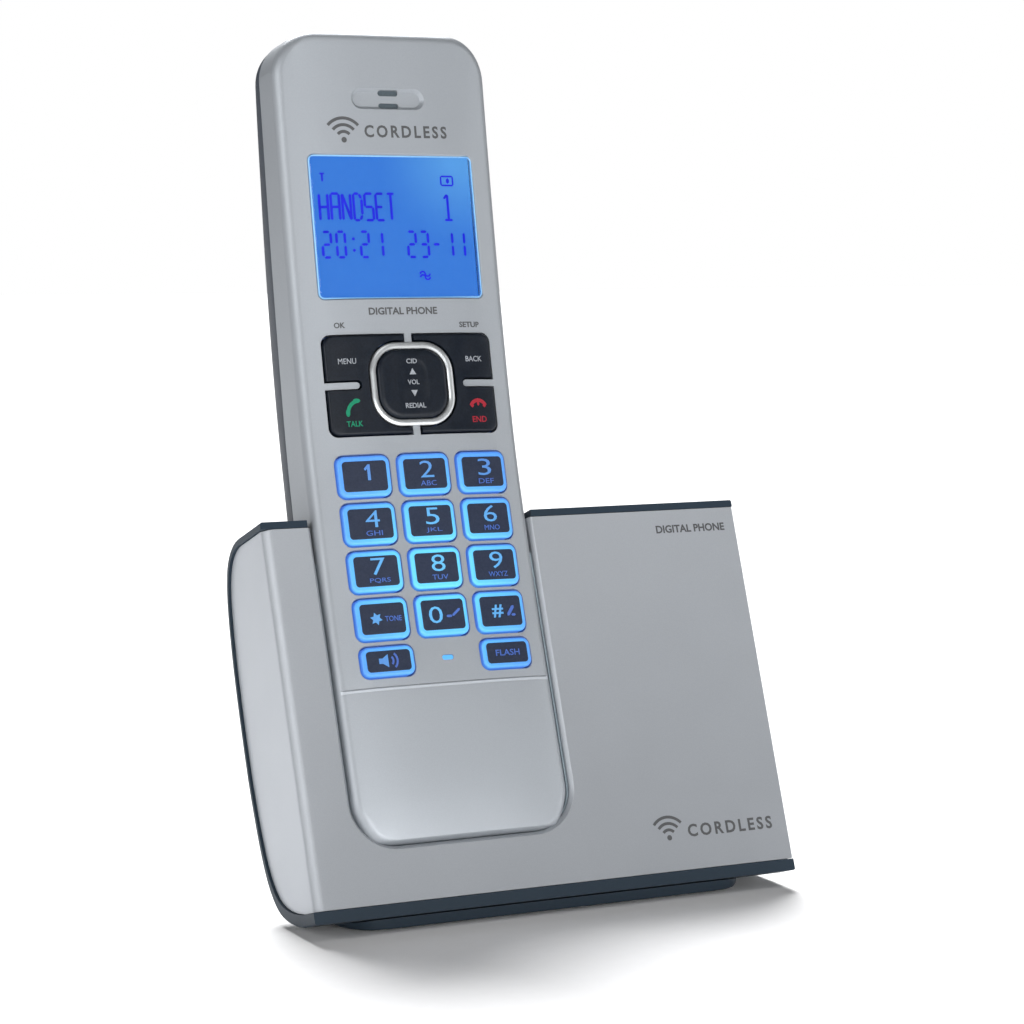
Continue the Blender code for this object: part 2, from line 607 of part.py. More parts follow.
def stand():
    body = prism_z("base_stand", plan_outline(), 0.5, 60)
    profile = ((-10, 0.5), (70, 0.5), (70, 15.4), (60.6, 15.4), (58.2, 17.8), (41.0, 38.0), (30, 38.0),
               (15, 4.5), (-10, 4.5))
    common(body, prism_x("profile", profile, -20, 130))
    cut(body, slab_shadow("shadow", GAP))
    hollow = prism_z("hollow", plan_outline(1.9), -1, 58)
    inner = ((22.0, -1), (58.6, -1), (58.6, 14.6), (57.4, 15.9), (40.6, 35.6), (22.0, 35.6))
    common(hollow, prism_x("inner", inner, -20, 130))
    cut(hollow, slab_shadow("front_wall", GAP + 1.8))
    for x, y in SCREWS:
        cut(hollow, drum_z("boss", x, y, ((2.2, 2.7), (60, 2.7)), 20))
    cut(body, hollow)
    for x, y in SCREWS:
        cut(body, drum_z("bore", x, y, ((1, 1.35), (7.0, 1.35)), 20))
    # socket windows in the rear wall
    cut(body, box("line_window", 33.3, 47.3, 55, 64, 2.1, 14.1))
    cut(body, box("dc_window", 62.7, 72.3, 55, 64, 2.1, 13.1))
    for x, y in FEET:
        cut(body, drum_z("pad", x, y, ((-1, 3.9), (FOOT_TOP + 0.15, 3.9)), 24))
    return finish(body, "dark", flat)


FEET = ((19.0, 10.6), (91.0, 10.6), (25.5, 53.5), (84.5, 53.5))
FOOT_TOP = 1.15


def bottom_cover():
    plan = plan_outline(2.2)
    body = prism_z("base_bottom_cover", plan, 0.6, 1.9)
    common(body, box("zone", -9, 130, 22.4, 58.2, 0, 3))
    cut(body, slab_shadow("front_wall", GAP + 2.1))
    for x, y in FEET[2:]:
        cut(body, drum_z("pad", x, y, ((-1, 3.9), (4, 3.9)), 24))
    for x, y in SCREWS:
        cut(body, drum_z("hole", x, y, ((-1, 2.5), (1.2, 2.5), (1.2, 1.3), (4, 1.3)), 20))
    return finish(body, "dark", flat)


SCREWS = ((21.5, 38.5), (88.5, 38.5), (55.0, 38.5), (55.0, 54.0))


def stand_trim():
    for i, (x, y) in enumerate(FEET):
        top = FOOT_TOP
        foot = drum_z("rubber_foot_%d" % (i + 1), x, y, ((0, 3.2), (0.25, 3.6), (top, 3.6)), 24)
        finish(foot, "rubber", flat)
    for i, (x, y) in enumerate(SCREWS):
        screw = drum_z("cover_screw_%d" % (i + 1), x, y, ((0.65, 1.9), (0.75, 2.2), (1.1, 2.2), (1.1, 1.0),
                                                          (5.0, 1.0), (5.4, 0.6)), 20)
        for w, h in ((2.4, 0.5), (0.5, 2.4)):
            cut(screw, box("slot", x - w / 2, x + w / 2, y - h / 2, y + h / 2, 0, 0.95))
        finish(screw, "steel", flat)


def sockets():
    jack = box("line_jack", 33.6, 47.0, 44.5, 60.0, 2.4, 13.8)
    cut(jack, box("mouth", 35.4, 45.2, 46.5, 64, 3.9, 10.6))
    cut(jack, box("latch", 37.2, 43.4, 46.5, 64, 10, 12.6))
    finish(jack, "black", flat)
    dc = box("dc_jack", 63.0, 72.0, 46.0, 60.0, 2.4, 12.8)
    bore = drum("bore", 67.5, 7.6, ((49.0, 2.9), (64, 2.9)), 24)
    cut(bore, drum("pin", 67.5, 7.6, ((44, 1.0), (59.0, 1.0), (59.4, 0.7)), 16))
    cut(dc, bore)
    finish(dc, "black", flat)


clear()
front_shell()
rear_shell()
door_piece()
hand_keys()
hand_insides()
base_front()
base_rear()
liner()
base_insides()
stand()
bottom_cover()
stand_trim()
sockets()
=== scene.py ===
"""Looks for the cordless phone with base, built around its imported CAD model.

Shapes are made in millimetres, in the same spaces as in the CAD source:
  slab space     (x, n, u): x from the face's left edge, n behind the face, u up the leaning face
  handset space  (x, d, v): x from the handset's middle, d behind its front, v up from its lower end
  flat space     (x, y, z): x from the face's left edge, y backwards, z up from the desk
"""

import math

import bmesh
import bpy
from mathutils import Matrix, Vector

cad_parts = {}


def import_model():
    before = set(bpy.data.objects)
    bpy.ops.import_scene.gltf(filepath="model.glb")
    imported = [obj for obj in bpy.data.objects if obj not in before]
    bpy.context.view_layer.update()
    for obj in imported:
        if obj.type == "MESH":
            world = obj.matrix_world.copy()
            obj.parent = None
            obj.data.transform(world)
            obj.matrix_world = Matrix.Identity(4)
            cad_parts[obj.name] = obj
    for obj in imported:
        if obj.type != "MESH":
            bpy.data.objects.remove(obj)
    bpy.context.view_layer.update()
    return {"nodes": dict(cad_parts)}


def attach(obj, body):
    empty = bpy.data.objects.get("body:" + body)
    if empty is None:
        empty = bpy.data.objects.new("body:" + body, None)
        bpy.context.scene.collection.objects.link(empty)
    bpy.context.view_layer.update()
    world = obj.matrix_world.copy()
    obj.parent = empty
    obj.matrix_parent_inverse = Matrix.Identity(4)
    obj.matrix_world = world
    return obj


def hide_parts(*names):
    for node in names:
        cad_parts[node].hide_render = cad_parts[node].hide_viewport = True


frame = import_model()

# ------------------------ sizes in mm
# Most are those of the CAD source; a few were adjusted to the photograph.
LEAN = math.radians(19.8)
SIN, COS = math.sin(LEAN), math.cos(LEAN)
FACE_W, FACE_RISE, DEPTH_SHIFT = 110.0, 6.6, -30.71
WALL, RIM_SIDE, GAP = 2.0, 0.6, 0.3
RIM_TOP, RIM_REAR, RIM_BOTTOM, RIM_FOOT = 1.6, 1.4, 2.5, 2.6
HAND_X, HAND_U, HAND_W, HAND_L, HAND_R = 35.2, 11.5, 48.6, 168.0, 9.0
HALF = HAND_W / 2
SHELL, FACE_T, SEAM, BACK = 1.7, 2.2, 10.5, 21.0
BOW_START, BOW_MAX, BOW_SOFT = 38.5, 0.2, 60.0
CURVE_FADE = 8   # depth at which the front's curves have died out
# tables of (v, value) pairs: how far the front's edges fall back and its middle stands proud, the
# depth of the parting line, how far the back's sides draw in, and the depth of the back
CROWN = ((0, 1.9), (58, 1.9), (84, 2.6), (168, 2.6))
LIFT = ((0, 1.7), (58, 1.7), (84, 1.5), (168, 1.5))
SEAM_DEPTH = ((0, 11.3), (60, 11.5), (80, 11.5), (100, 10.9), (150, 9.6), (168, 9.4))
TAPER = ((0, 0), (60, 0), (80, 0.42), (95, 0.55), (115, 0.65), (135, 0.5), (155, 0.15), (168, 0))
BACK_DEPTH = ((0, 19.4), (24, 19.5), (48, 20.1), (66, 21.7), (84, 23.4), (102, 24.0), (120, 23.4),
              (138, 21.4), (154, 18.5), (168, 15.4))
POCKET_L, POCKET_R, POCKET_U, POCKET_RAD, POCKET_FLARE = 10.45, 59.95, 11.3, 9.4, 0.75
KEY_W, KEY_H, KEY_PITCH, KEY_SHIFT = 11.4, 8.6, 13.4, 0.45
KEY_ROWS = (75.4, 65.5, 55.6, 45.7)
LOW_ROW, LOW_H = 36.9, 6.2
CLUSTER_V, CLUSTER_W, CLUSTER_H = 94.35, 38.6, 21.3
RING_W, RING_H, RING_R = 19.0, 17.6, 6.4
NAV_W, NAV_H, NAV_R = 15.6, 14.5, 4.9
BRIDGE, FINGER, FINGER_TIP = 1.6, 1.4, 11.8
LCD_V, LCD_W, LCD_H = 127.4, 37.4, 29.9
EAR_V, EAR_W, EAR_H = 154.0, 16.5, 4.2
CHIN_V = 31.5
BAY_LO, BAY_HI, BAY_HALF = 76.0, 128.0, 11.6
DOOR_LO, DOOR_HI, DOOR_HALF = 72.2, 131.8, 13.5
BOSS_X, BOSS_V = 12.5, 15.0
BUTTON_X, BUTTON_U = 88.0, 56.0
THROUGH = ((-3, 0), (5, 0))   # levels of a cutter that passes right through the handset's front
# (n, u) outline of the base's silver shell from the side, and (x, y) outline of half its plinth
SIDE = ((0, 0), (6, 0.3), (10, 1.1), (13.9, 2.4), (17.0, 4.2), (19.3, 6.8), (21.2, 10.5),
        (22.6, 15.5), (23.6, 22.0), (24.4, 31.0), (24.6, 42.0), (24.4, 52.0), (23.8, 60.0),
        (22.8, 67.0), (21.6, 71.2), (19.9, 74.2), (17.6, 76.2), (14.5, 77.3), (10.0, 77.4),
        (0, 77.4))
PLAN = ((17.5, 3.0), (13.0, 4.0), (9.8, 7.4), (8.4, 12.5), (9.2, 22.0), (13.0, 34.0),
        (21.0, 54.0), (23.0, 57.6), (26.5, 60.0), (30.0, 60.6))

# ------------------------ camera at the photograph's angle
cam = bpy.data.cameras.new("Camera")
cam.sensor_width, cam.lens, cam.clip_start = 36.0, 100.83, 0.02
camera = bpy.data.objects.new("Camera", cam)
bpy.context.scene.collection.objects.link(camera)
camera.location = (-0.26881, -0.54071, 0.13822)
camera.rotation_mode = "QUATERNION"
camera.rotation_quaternion = Vector((0.44757, 0.88914, -0.09547)).to_track_quat("-Z", "Y")
bpy.context.scene.camera = camera


# ------------------------ materials
def set_values(node, *values):
    for name, value in values:
        node.inputs[name].default_value = value
    return node


def add_node(tree, kind, *values):
    """A new shader node with its (input, value) pairs set."""
    return set_values(tree.nodes.new("ShaderNode" + kind), *values)


def look(name, color, rough=0.4, metal=0.0, coat=0.0, spec=0.5, grain=(2500, 0.05), tint=(0.0, 40),
         vary=0.0, glow=None, streak=None):
    """A moulded or painted surface: colour variation, fine grain bump and uneven gloss.

    grain is (scale, bump strength), tint is (amount, scale) of the variation, and streak stretches
    the grain. glow is (colour, colour, strength); with (centre, near, far) after them it fades from
    the first colour to the second, as light from a lamp behind the part or as a painted highlight.
    """
    mat = bpy.data.materials.new(name)
    mat.use_nodes = True
    tree = mat.node_tree
    link = tree.links.new
    shader = set_values(tree.nodes["Principled BSDF"], ("Roughness", rough), ("Metallic", metal),
                        ("Specular IOR Level", spec), ("Coat Weight", coat), ("Coat Roughness", 0.18))
    where = add_node(tree, "TexCoord")

    def noise(scale, detail, stretch=None):
        node = add_node(tree, "TexNoise", ("Scale", scale), ("Detail", detail))
        source = where.outputs["Object"]
        if stretch:
            mapping = add_node(tree, "Mapping", ("Scale", stretch))
            link(source, mapping.inputs["Vector"])
            source = mapping.outputs["Vector"]
        link(source, node.inputs["Vector"])
        return node.outputs["Fac"]

    def ramp(source, a, b, lo=0.35, hi=0.65):
        node = add_node(tree, "ValToRGB")
        first, second = node.color_ramp.elements
        first.position, second.position = lo, hi
        first.color, second.color = (*a, 1.0), (*b, 1.0)
        link(source, node.inputs["Fac"])
        return node.outputs["Color"]

    amount, scale = tint
    dark = tuple(c * (1 - amount) for c in color)
    light = tuple(min(1.0, c * (1 + amount)) for c in color)
    mix = add_node(tree, "Mix")
    mix.data_type, mix.blend_type = "RGBA", "MULTIPLY"
    mix.inputs["Factor"].default_value = 1.0
    link(ramp(noise(grain[0], 3.0, streak), dark, light), mix.inputs["A"])
    link(ramp(noise(scale, 1.0), (1 - amount * 0.5,) * 3, (1, 1, 1)), mix.inputs["B"])
    link(mix.outputs["Result"], shader.inputs["Base Color"])
    if vary:
        spread = ramp(noise(scale * 4, 3.0), (rough - vary,) * 3, (rough + vary,) * 3)
        link(spread, shader.inputs["Roughness"])
    bump = add_node(tree, "Bump", ("Strength", grain[1]), ("Distance", 0.0002))
    link(noise(grain[0] * 0.6, 3.0, streak), bump.inputs["Height"])
    link(bump.outputs["Normal"], shader.inputs["Normal"])
    if glow:
        near, far, strength = glow[:3]
        shader.inputs["Emission Strength"].default_value = strength
        if glow[3:]:
            centre, lo, hi = glow[3:]
            mapping = add_node(tree, "Mapping", ("Location", tuple(-c for c in centre)))
            length = add_node(tree, "VectorMath")
            length.operation = "LENGTH"
            link(where.outputs["Object"], mapping.inputs["Vector"])
            link(mapping.outputs["Vector"], length.inputs[0])
            source = ramp(length.outputs["Value"], near, far, lo, hi)
        else:
            source = ramp(noise(scale, 1.0), near, far)
        link(source, shader.inputs["Emission Color"])
    return mat


def facing(tree, toward, lo, hi):
    """0 to 1 as the surface's direction nears another one, between two cosines."""
    where = add_node(tree, "TexCoord")
    dot = add_node(tree, "VectorMath")
    dot.operation = "DOT_PRODUCT"
    dot.inputs[1].default_value = Vector(toward).normalized()
    spread = add_node(tree, "MapRange", ("From Min", lo), ("From Max", hi))
    tree.links.new(where.outputs["Normal"], dot.inputs[0])
    tree.links.new(dot.outputs["Value"], spread.inputs["Value"])
    return spread.outputs["Result"]


def turn_color(mat, toward, color, lo, hi):
    """Painted shade on a glow: fade the emission to a colour where the surface turns away from a
    direction.
    """
    tree = mat.node_tree
    link = tree.links.new
    target = tree.nodes["Principled BSDF"].inputs["Emission Color"]
    before = target.links[0].from_socket
    mix = add_node(tree, "Mix")
    mix.data_type = "RGBA"
    mix.inputs["A"].default_value = (*color, 1.0)
    link(facing(tree, toward, lo, hi), mix.inputs["Factor"])
    link(before, mix.inputs["B"])
    link(mix.outputs["Result"], target)


def shade(mat, amount, heights=None, toward=None):
    """Painted light and shade: paint colour times an amount, fading to even between two heights, on
    faces that look one way.
    """
    tree = mat.node_tree
    link = tree.links.new
    target = tree.nodes["Principled BSDF"].inputs["Base Color"]
    before = target.links[0].from_socket
    tone = add_node(tree, "VectorMath")
    tone.operation = "SCALE"
    source = None
    if heights:
        where = add_node(tree, "TexCoord")
        split = add_node(tree, "SeparateXYZ")
        level = add_node(tree, "MapRange", ("From Min", heights[0]), ("From Max", heights[1]),
                         ("To Min", amount))
        link(where.outputs["Object"], split.inputs["Vector"])
        link(split.outputs["Z"], level.inputs["Value"])
        source = level.outputs["Result"]
    if toward:
        even = add_node(tree, "Mix", ("A", 1.0), ("B", amount))
        link(facing(tree, toward, 0.85, 0.99), even.inputs["Factor"])
        if source:
            link(source, even.inputs["B"])
        source = even.outputs["Result"]
    link(before, tone.inputs[0])
    link(source, tone.inputs["Scale"])
    link(tone.outputs["Vector"], target)


# ------------------------ placement
def slab_point(x, n, u):
    """From slab space to the row frame, in metres."""
    return Vector((x - FACE_W / 2, n * COS + u * SIN + DEPTH_SHIFT,
                   FACE_RISE - n * SIN + u * COS)) / 1000.0


def blend(table, v):
    """Smooth value at v of a table of (v, value) pairs."""
    v = min(max(v, table[0][0]), table[-1][0])
    for i in range(len(table) - 1):
        (a, p), (b, q) = table[i], table[i + 1]
        if v <= b:
            before, after = table[max(i - 1, 0)], table[min(i + 2, len(table) - 1)]
            span, t = b - a, (v - a) / (b - a)
            m0 = (q - before[1]) / (b - before[0]) * span
            m1 = (after[1] - p) / (after[0] - a) * span
            t2, t3 = t * t, t * t * t
            return (p * (2 * t3 - 3 * t2 + 1) + q * (3 * t2 - 2 * t3)
                    + m0 * (t3 - 2 * t2 + t) + m1 * (t3 - t2))
    return table[-1][1]


def bow(v):
    """How far the handset bends forwards at v above the base, and its slope there."""
    q = v - BOW_START
    if q <= 0:
        return 0.0, 0.0
    fade = math.exp(-q / BOW_SOFT)
    return -BOW_MAX * (q - BOW_SOFT * (1 - fade)), -BOW_MAX * (1 - fade)


def hand_point(x, d, v):
    """From handset space to the row frame, with the handset's curves."""
    seam, back = blend(SEAM_DEPTH, v), blend(BACK_DEPTH, v)
    if d <= SEAM:
        swell = blend(CROWN, v) * (x / HALF) ** 4 - blend(LIFT, v)
        y = d * seam / SEAM + swell * max(0.0, 1 - max(d, 0.0) / CURVE_FADE)
    else:
        y = seam + (d - SEAM) * (back - seam) / (BACK - SEAM)
    offset, slope = bow(v)
    run = math.hypot(1.0, slope)
    return slab_point(HAND_X + x, offset + y / run, HAND_U + v - slope * y / run)


def front_point(x, d, v):
    """Handset front with the soft roll of its lower end, which turns over in a tighter edge."""
    roll = 0.75 * (max(0.0, 9.0 - v) / 9.0) ** 2 * max(0.0, 1 - max(d, 0.0) / CURVE_FADE)
    if 0 <= v < 5:
        v = v * 0.45 if v < 2 else 0.9 + (v - 2) * 4.1 / 3
    return hand_point(x, d + roll, v)


def rear_point(x, d, v):
    """Handset back, whose sides draw in a little above the base."""
    outer = min(max((abs(x) - 14.5) / (HALF - 14.5), 0.0), 1.0)
    deep = min(max((d - SEAM) / 4.0, 0.0), 1.0)
    return hand_point(x - math.copysign(blend(TAPER, v) * outer * deep, x), d, v)


def flat(x, y, z):
    """From flat space to the row frame."""
    return Vector((x - FACE_W / 2, y + DEPTH_SHIFT, z)) / 1000.0


# ------------------------ shape tools
def obj(name, verts, faces):
    mesh = bpy.data.meshes.new(name)
    mesh.from_pydata([tuple(v) for v in verts], [], faces)
    mesh.update()
    ob = bpy.data.objects.new(name, mesh)
    bpy.context.scene.collection.objects.link(ob)
    bm = bmesh.new()
    bm.from_mesh(mesh)
    bmesh.ops.recalc_face_normals(bm, faces=bm.faces)
    bm.to_mesh(mesh)
    bm.free()
    return ob


def combine(target, other, kind):
    mod = target.modifiers.new("cut", "BOOLEAN")
    mod.operation, mod.solver, mod.object = kind, "EXACT", other
    bpy.context.view_layer.update()
    graph = bpy.context.evaluated_depsgraph_get()
    mesh = bpy.data.meshes.new_from_object(target.evaluated_get(graph))
    target.modifiers.clear()
    old = target.data
    target.data = mesh
    bpy.data.meshes.remove(old)
    bpy.data.objects.remove(other, do_unlink=True)
    return target


def cut(target, *others):
    for other in others:
        combine(target, other, "DIFFERENCE")
    return target


def join(target, *others):
    for other in others:
        combine(target, other, "UNION")
    return target


def common(target, other):
    return combine(target, other, "INTERSECT")


def rounded(w, h, r, steps):
    """Outline of a rectangle with round corners."""
    r = max(min(r, w / 2 - 0.01, h / 2 - 0.01), 0.05)
    out = []
    for qx, qz, start in ((1, 1, 0), (-1, 1, 90), (-1, -1, 180), (1, -1, 270)):
        for i in range(steps + 1):
            a = math.radians(start + 90 * i / steps)
            out.append((qx * (w / 2 - r) + r * math.cos(a), qz * (h / 2 - r) + r * math.sin(a)))
    return out


def circle(r, count):
    return [(r * math.cos(2 * math.pi * i / count), r * math.sin(2 * math.pi * i / count))
            for i in range(count)]


def loft(name, rings, closed=False):
    count, total = len(rings[0]), len(rings)
    verts = [v for ring in rings for v in ring]
    faces = [] if closed else [list(range(count)), list(range((total - 1) * count, total * count))]
    for k in range(total if closed else total - 1):
        m = (k + 1) % total
        for i in range(count):
            j = (i + 1) % count
            faces.append([k * count + i, k * count + j, m * count + j, m * count + i])
    return obj(name, verts, faces)


def slab(name, cx, cz, w, h, r, levels, steps, closed=False):
    """Rounded plate lying in X-Z; levels are (y, inset) pairs. Closed makes a ring of the levels."""
    rings = []
    for y, inset in levels:
        rings.append([(cx + px, y, cz + pz)
                      for px, pz in rounded(w - 2 * inset, h - 2 * inset, max(r - inset, 0.15), steps)])
    return loft(name, rings, closed)


def box(name, x0, x1, y0, y1, z0, z1):
    return loft(name, [[(x0, y, z0), (x1, y, z0), (x1, y, z1), (x0, y, z1)] for y in (y0, y1)])


def prism_x(name, outline, x0, x1):
    return loft(name, [[(x, a, b) for a, b in outline] for x in (x0, x1)])


def drum(name, cx, cz, levels, count):
    return loft(name, [[(cx + px, y, cz + pz) for px, pz in circle(r, count)] for y, r in levels])


def drum_z(name, cx, cy, levels, count):
    return loft(name, [[(cx + px, cy + py, z) for px, py in circle(r, count)] for z, r in levels])


def fillet(r, steps):
    """(depth, inset) levels of a quarter round of radius r."""
    turns = [math.pi / 2 * i / steps for i in range(steps + 1)]
    return [(r * (1 - math.cos(a)), r * (1 - math.sin(a))) for a in turns]


def smooth_line(points, parts=4):
    """Smooth curve through an open run of points, its tangents scaled to their spacing."""
    out = []
    last = len(points) - 1
    for i in range(last):
        p0, p1, p2, p3 = (Vector(points[max(i - 1, 0)]), Vector(points[i]),
                          Vector(points[i + 1]), Vector(points[min(i + 2, last)]))
        d1 = max((p2 - p1).length, 1e-6)
        m1 = (p2 - p0) * (d1 / max((p1 - p0).length + d1, 1e-6))
        m2 = (p3 - p1) * (d1 / max((p3 - p2).length + d1, 1e-6))
        for k in range(parts):
            t = k / parts
            t2, t3 = t * t, t * t * t
            q = (p1 * (2 * t3 - 3 * t2 + 1) + m1 * (t3 - 2 * t2 + t)
                 + p2 * (3 * t2 - 2 * t3) + m2 * (t3 - t2))
            out.append((q.x, q.y))
    out.append(tuple(points[-1]))
    return out


def grow(outline, amount):
    """Offset a closed (a, b) outline outwards; amount may depend on the normal."""
    area = sum(outline[i - 1][0] * outline[i][1] - outline[i][0] * outline[i - 1][1]
               for i in range(len(outline)))
    sign = 1.0 if area > 0 else -1.0
    out = []
    for i, (a, b) in enumerate(outline):
        pa, pb = outline[i - 1]
        na, nb = outline[(i + 1) % len(outline)]
        e0 = Vector((a - pa, b - pb)).normalized()
        e1 = Vector((na - a, nb - b)).normalized()
        n0 = Vector((e0.y, -e0.x)) * sign
        n1 = Vector((e1.y, -e1.x)) * sign
        s0 = amount(n0) if callable(amount) else amount
        s1 = amount(n1) if callable(amount) else amount
        det = n0.x * n1.y - n0.y * n1.x
        if abs(det) < 0.2:
            m = (n0 + n1).normalized()
            out.append((a + m.x * (s0 + s1) / 2, b + m.y * (s0 + s1) / 2))
        else:
            out.append((a + (s0 * n1.y - s1 * n0.y) / det, b + (s1 * n0.x - s0 * n1.x) / det))
    return out


def lattice(ob, step_x, step_z):
    """Split long faces so that bowing the piece keeps them smooth."""
    bm = bmesh.new()
    bm.from_mesh(ob.data)
    for axis, step in ((2, step_z), (0, step_x)):
        if not step:
            continue
        lo = min(v.co[axis] for v in bm.verts)
        hi = max(v.co[axis] for v in bm.verts)
        first = math.ceil(lo / step) * step
        for i in range(int((hi - first) / step) + 1):
            level = first + i * step + 0.0137   # a hair off, so that the cut meets no corner
            if lo + 0.4 < level < hi - 0.4:
                normal = Vector([1.0 if k == axis else 0.0 for k in range(3)])
                bmesh.ops.bisect_plane(bm, geom=bm.verts[:] + bm.edges[:] + bm.faces[:], dist=1e-4,
                                       plane_co=normal * level, plane_no=normal)
    bmesh.ops.triangulate(bm, faces=[f for f in bm.faces if len(f.verts) > 4])
    bm.to_mesh(ob.data)
    bm.free()


def place(ob, mapping, mat, body, stands_for=(), sharp=30, weld=0.002):
    """Map a millimetre shape into the row frame, shade it, and tie it to its body."""
    bm = bmesh.new()
    bm.from_mesh(ob.data)
    bmesh.ops.remove_doubles(bm, verts=bm.verts, dist=weld)
    bmesh.ops.dissolve_degenerate(bm, dist=weld / 2, edges=bm.edges)
    for vert in bm.verts:
        vert.co = mapping(*vert.co)
    bmesh.ops.recalc_face_normals(bm, faces=bm.faces)
    bm.to_mesh(ob.data)
    bm.free()
    ob.data.materials.clear()
    ob.data.materials.append(mat)
    ob.data.shade_smooth()
    ob.data.set_sharp_from_angle(angle=math.radians(sharp))
    weighted = ob.modifiers.new("weighted", "WEIGHTED_NORMAL")
    weighted.keep_sharp = True
    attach(ob, body)
    if stands_for:
        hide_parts(*stands_for)
    return ob


# ------------------------ printed marks
def words(text, x, v, height, width=None, weight=0.0, align=0.5, spacing=1.0):
    """Flat lettering as (vertices, faces), its capitals of the given height centred on v."""
    curve = bpy.data.curves.new("text", "FONT")
    curve.body, curve.extrude, curve.offset = text, 0.5, weight
    curve.space_character, curve.resolution_u = spacing, 3
    ob = bpy.data.objects.new("text", curve)
    bpy.context.scene.collection.objects.link(ob)
    bpy.context.view_layer.update()
    mesh = bpy.data.meshes.new_from_object(ob.evaluated_get(bpy.context.evaluated_depsgraph_get()))
    bpy.data.objects.remove(ob, do_unlink=True)
    xs = [p.co.x for p in mesh.vertices]
    ys = [p.co.y for p in mesh.vertices]
    scale_v = height / (max(ys) - min(ys))
    scale_x = width / (max(xs) - min(xs)) if width else scale_v
    start = x - align * (max(xs) - min(xs)) * scale_x
    left, low = min(xs), min(ys)
    verts = [(start + (p.co.x - left) * scale_x, p.co.z + 0.5,
              v - height / 2 + (p.co.y - low) * scale_v) for p in mesh.vertices]
    faces = [list(p.vertices) for p in mesh.polygons]
    bpy.data.meshes.remove(mesh)
    return verts, faces


def moved(points, x, v):
    return [(x + px, v + pv) for px, pv in points]


def polygon(points):
    """A flat shape from (x, v) points, as (vertices, faces) between depths 0 and 1."""
    count = len(points)
    verts = [(x, d, v) for d in (0.0, 1.0) for x, v in points]
    faces = [list(range(count)), list(range(count, 2 * count))]
    faces += [[i, (i + 1) % count, count + (i + 1) % count, count + i] for i in range(count)]
    return verts, faces


def bar(x0, v0, x1, v1, width):
    """A straight stroke with pointed ends, a hair short so that strokes that meet share no points."""
    a, b = Vector((x0, v0)), Vector((x1, v1))
    along = (b - a).normalized() * width / 2
    side = Vector((-along.y, along.x))
    a, b = a + along * 0.08, b - along * 0.08
    return polygon([tuple(p) for p in (a, a + along + side, b - along + side, b, b - along - side,
                                       a + along - side)])


def arc(cx, cv, radius, width, start, end, steps=12):
    """A curved stroke between two angles in degrees."""
    angles = [math.radians(start + (end - start) * i / steps) for i in range(steps + 1)]
    outer, inner = ([(cx + r * math.cos(a), cv + r * math.sin(a)) for a in angles]
                    for r in (radius + width / 2, radius - width / 2))
    return polygon(outer + inner[::-1])


SEGMENTS = {"0": "abcdef", "1": "bc", "2": "abged", "3": "abgcd", "4": "fgbc", "5": "afgcd",
            "6": "afgedc", "7": "abc", "8": "abcdefg", "9": "abcdfg", "-": "g"}


def seven(text, x, v, w, h, pitch, stroke):
    """Segment digits with their lower left corner at (x, v)."""
    out = []
    for ch in text:
        if ch == ":":
            dot = circle(stroke * 0.6, 8)
            out += [polygon(moved(dot, x + w * 0.35, v + h * k)) for k in (0.27, 0.72)]
            x += pitch * 0.72
            continue
        g = stroke * 0.3
        ends = {"a": (0, h, w, h), "d": (0, 0, w, 0), "g": (0, h / 2, w, h / 2), "f": (0, h / 2, 0, h),
                "b": (w, h / 2, w, h), "e": (0, 0, 0, h / 2), "c": (w, 0, w, h / 2)}
        for s in SEGMENTS[ch]:
            x0, v0, x1, v1 = ends[s]
            if v0 == v1:
                x0, x1 = x0 + g, x1 - g
            else:
                v0, v1 = v0 + g, v1 - g
            out.append(bar(x + x0, v + v0, x + x1, v + v1, stroke))
        x += pitch
    return out


# layers of print: where they lie, the depth of their front and their thickness
ON_BASE, ON_SHELL = (slab_point, -0.02, 0.08), (hand_point, -0.02, 0.08)
ON_CAP, ON_KEY = (hand_point, -0.83, 0.05), (hand_point, -0.58, 0.05)
ON_NAV, ON_LCD = (hand_point, -0.79, 0.12), (hand_point, 1.2, 0.06)


def print_on(name, parts, layer, mat, body):
    """One thin piece from several flat shapes."""
    mapping, front, thick = layer
    verts, faces = [], []
    for vs, fs in parts:
        base = len(verts)
        verts += [(x, front + d * thick, v) for x, d, v in vs]
        faces += [[base + i for i in f] for f in fs]
    ob = obj(name, verts, faces)
    return place(ob, mapping, mat, body, weld=0.0004)


# ------------------------ finishes
LAMP = tuple(hand_point(1.0, 2.0, 55.0))       # the light behind the keys
# a painted highlight on the display: its backlight glows brightest at this corner and fades away from
# it
HIGHLIGHT_CORNER = tuple(hand_point(17.0, 2.0, 143.0))   # the display's brightest corner
PAINT = {"grain": (5200, 0.04), "tint": (0.025, 30), "vary": 0.015}
PRINT = {"spec": 0.2, "grain": (6000, 0.02), "tint": (0.12, 300)}

silver = look("Silver_paint", (0.350, 0.370, 0.397), 0.46, 0.42, coat=0.05, **PAINT)
hand_silver = look("Handset_silver", (0.302, 0.323, 0.348), 0.47, 0.42, coat=0.04, **PAINT)
# painted light and shade in the paint's colour: the base's face darker at its foot, its left side
# lighter, and the handset lighter below its keys
shade(silver, 0.82, (0.022, 0.082), (0, -COS, SIN))
shade(silver, 1.17, None, (-1, 0, 0))
shade(hand_silver, 1.22, (0.024, 0.060))
# painted highlight for the chin's bevel
painted_chin_highlight = look("Painted_highlight_chin", (0.47, 0.50, 0.54), 0.45, 0.35, grain=(5200, 0.02),
                   tint=(0.03, 60))
silver_ring = look("Bright_ring_paint", (0.52, 0.54, 0.55), 0.30, 0.75, coat=0.2, grain=(2200, 0.004),
                   tint=(0.03, 60), vary=0.02)
graphite = look("Graphite_plastic", (0.018, 0.030, 0.044), 0.46, spec=0.18, grain=(3800, 0.04),
                tint=(0.02, 60), vary=0.008)
grey_shell = look("Grey_back_plastic", (0.044, 0.052, 0.066), 0.46, spec=0.14, grain=(3800, 0.10),
                  tint=(0.05, 60), vary=0.02)
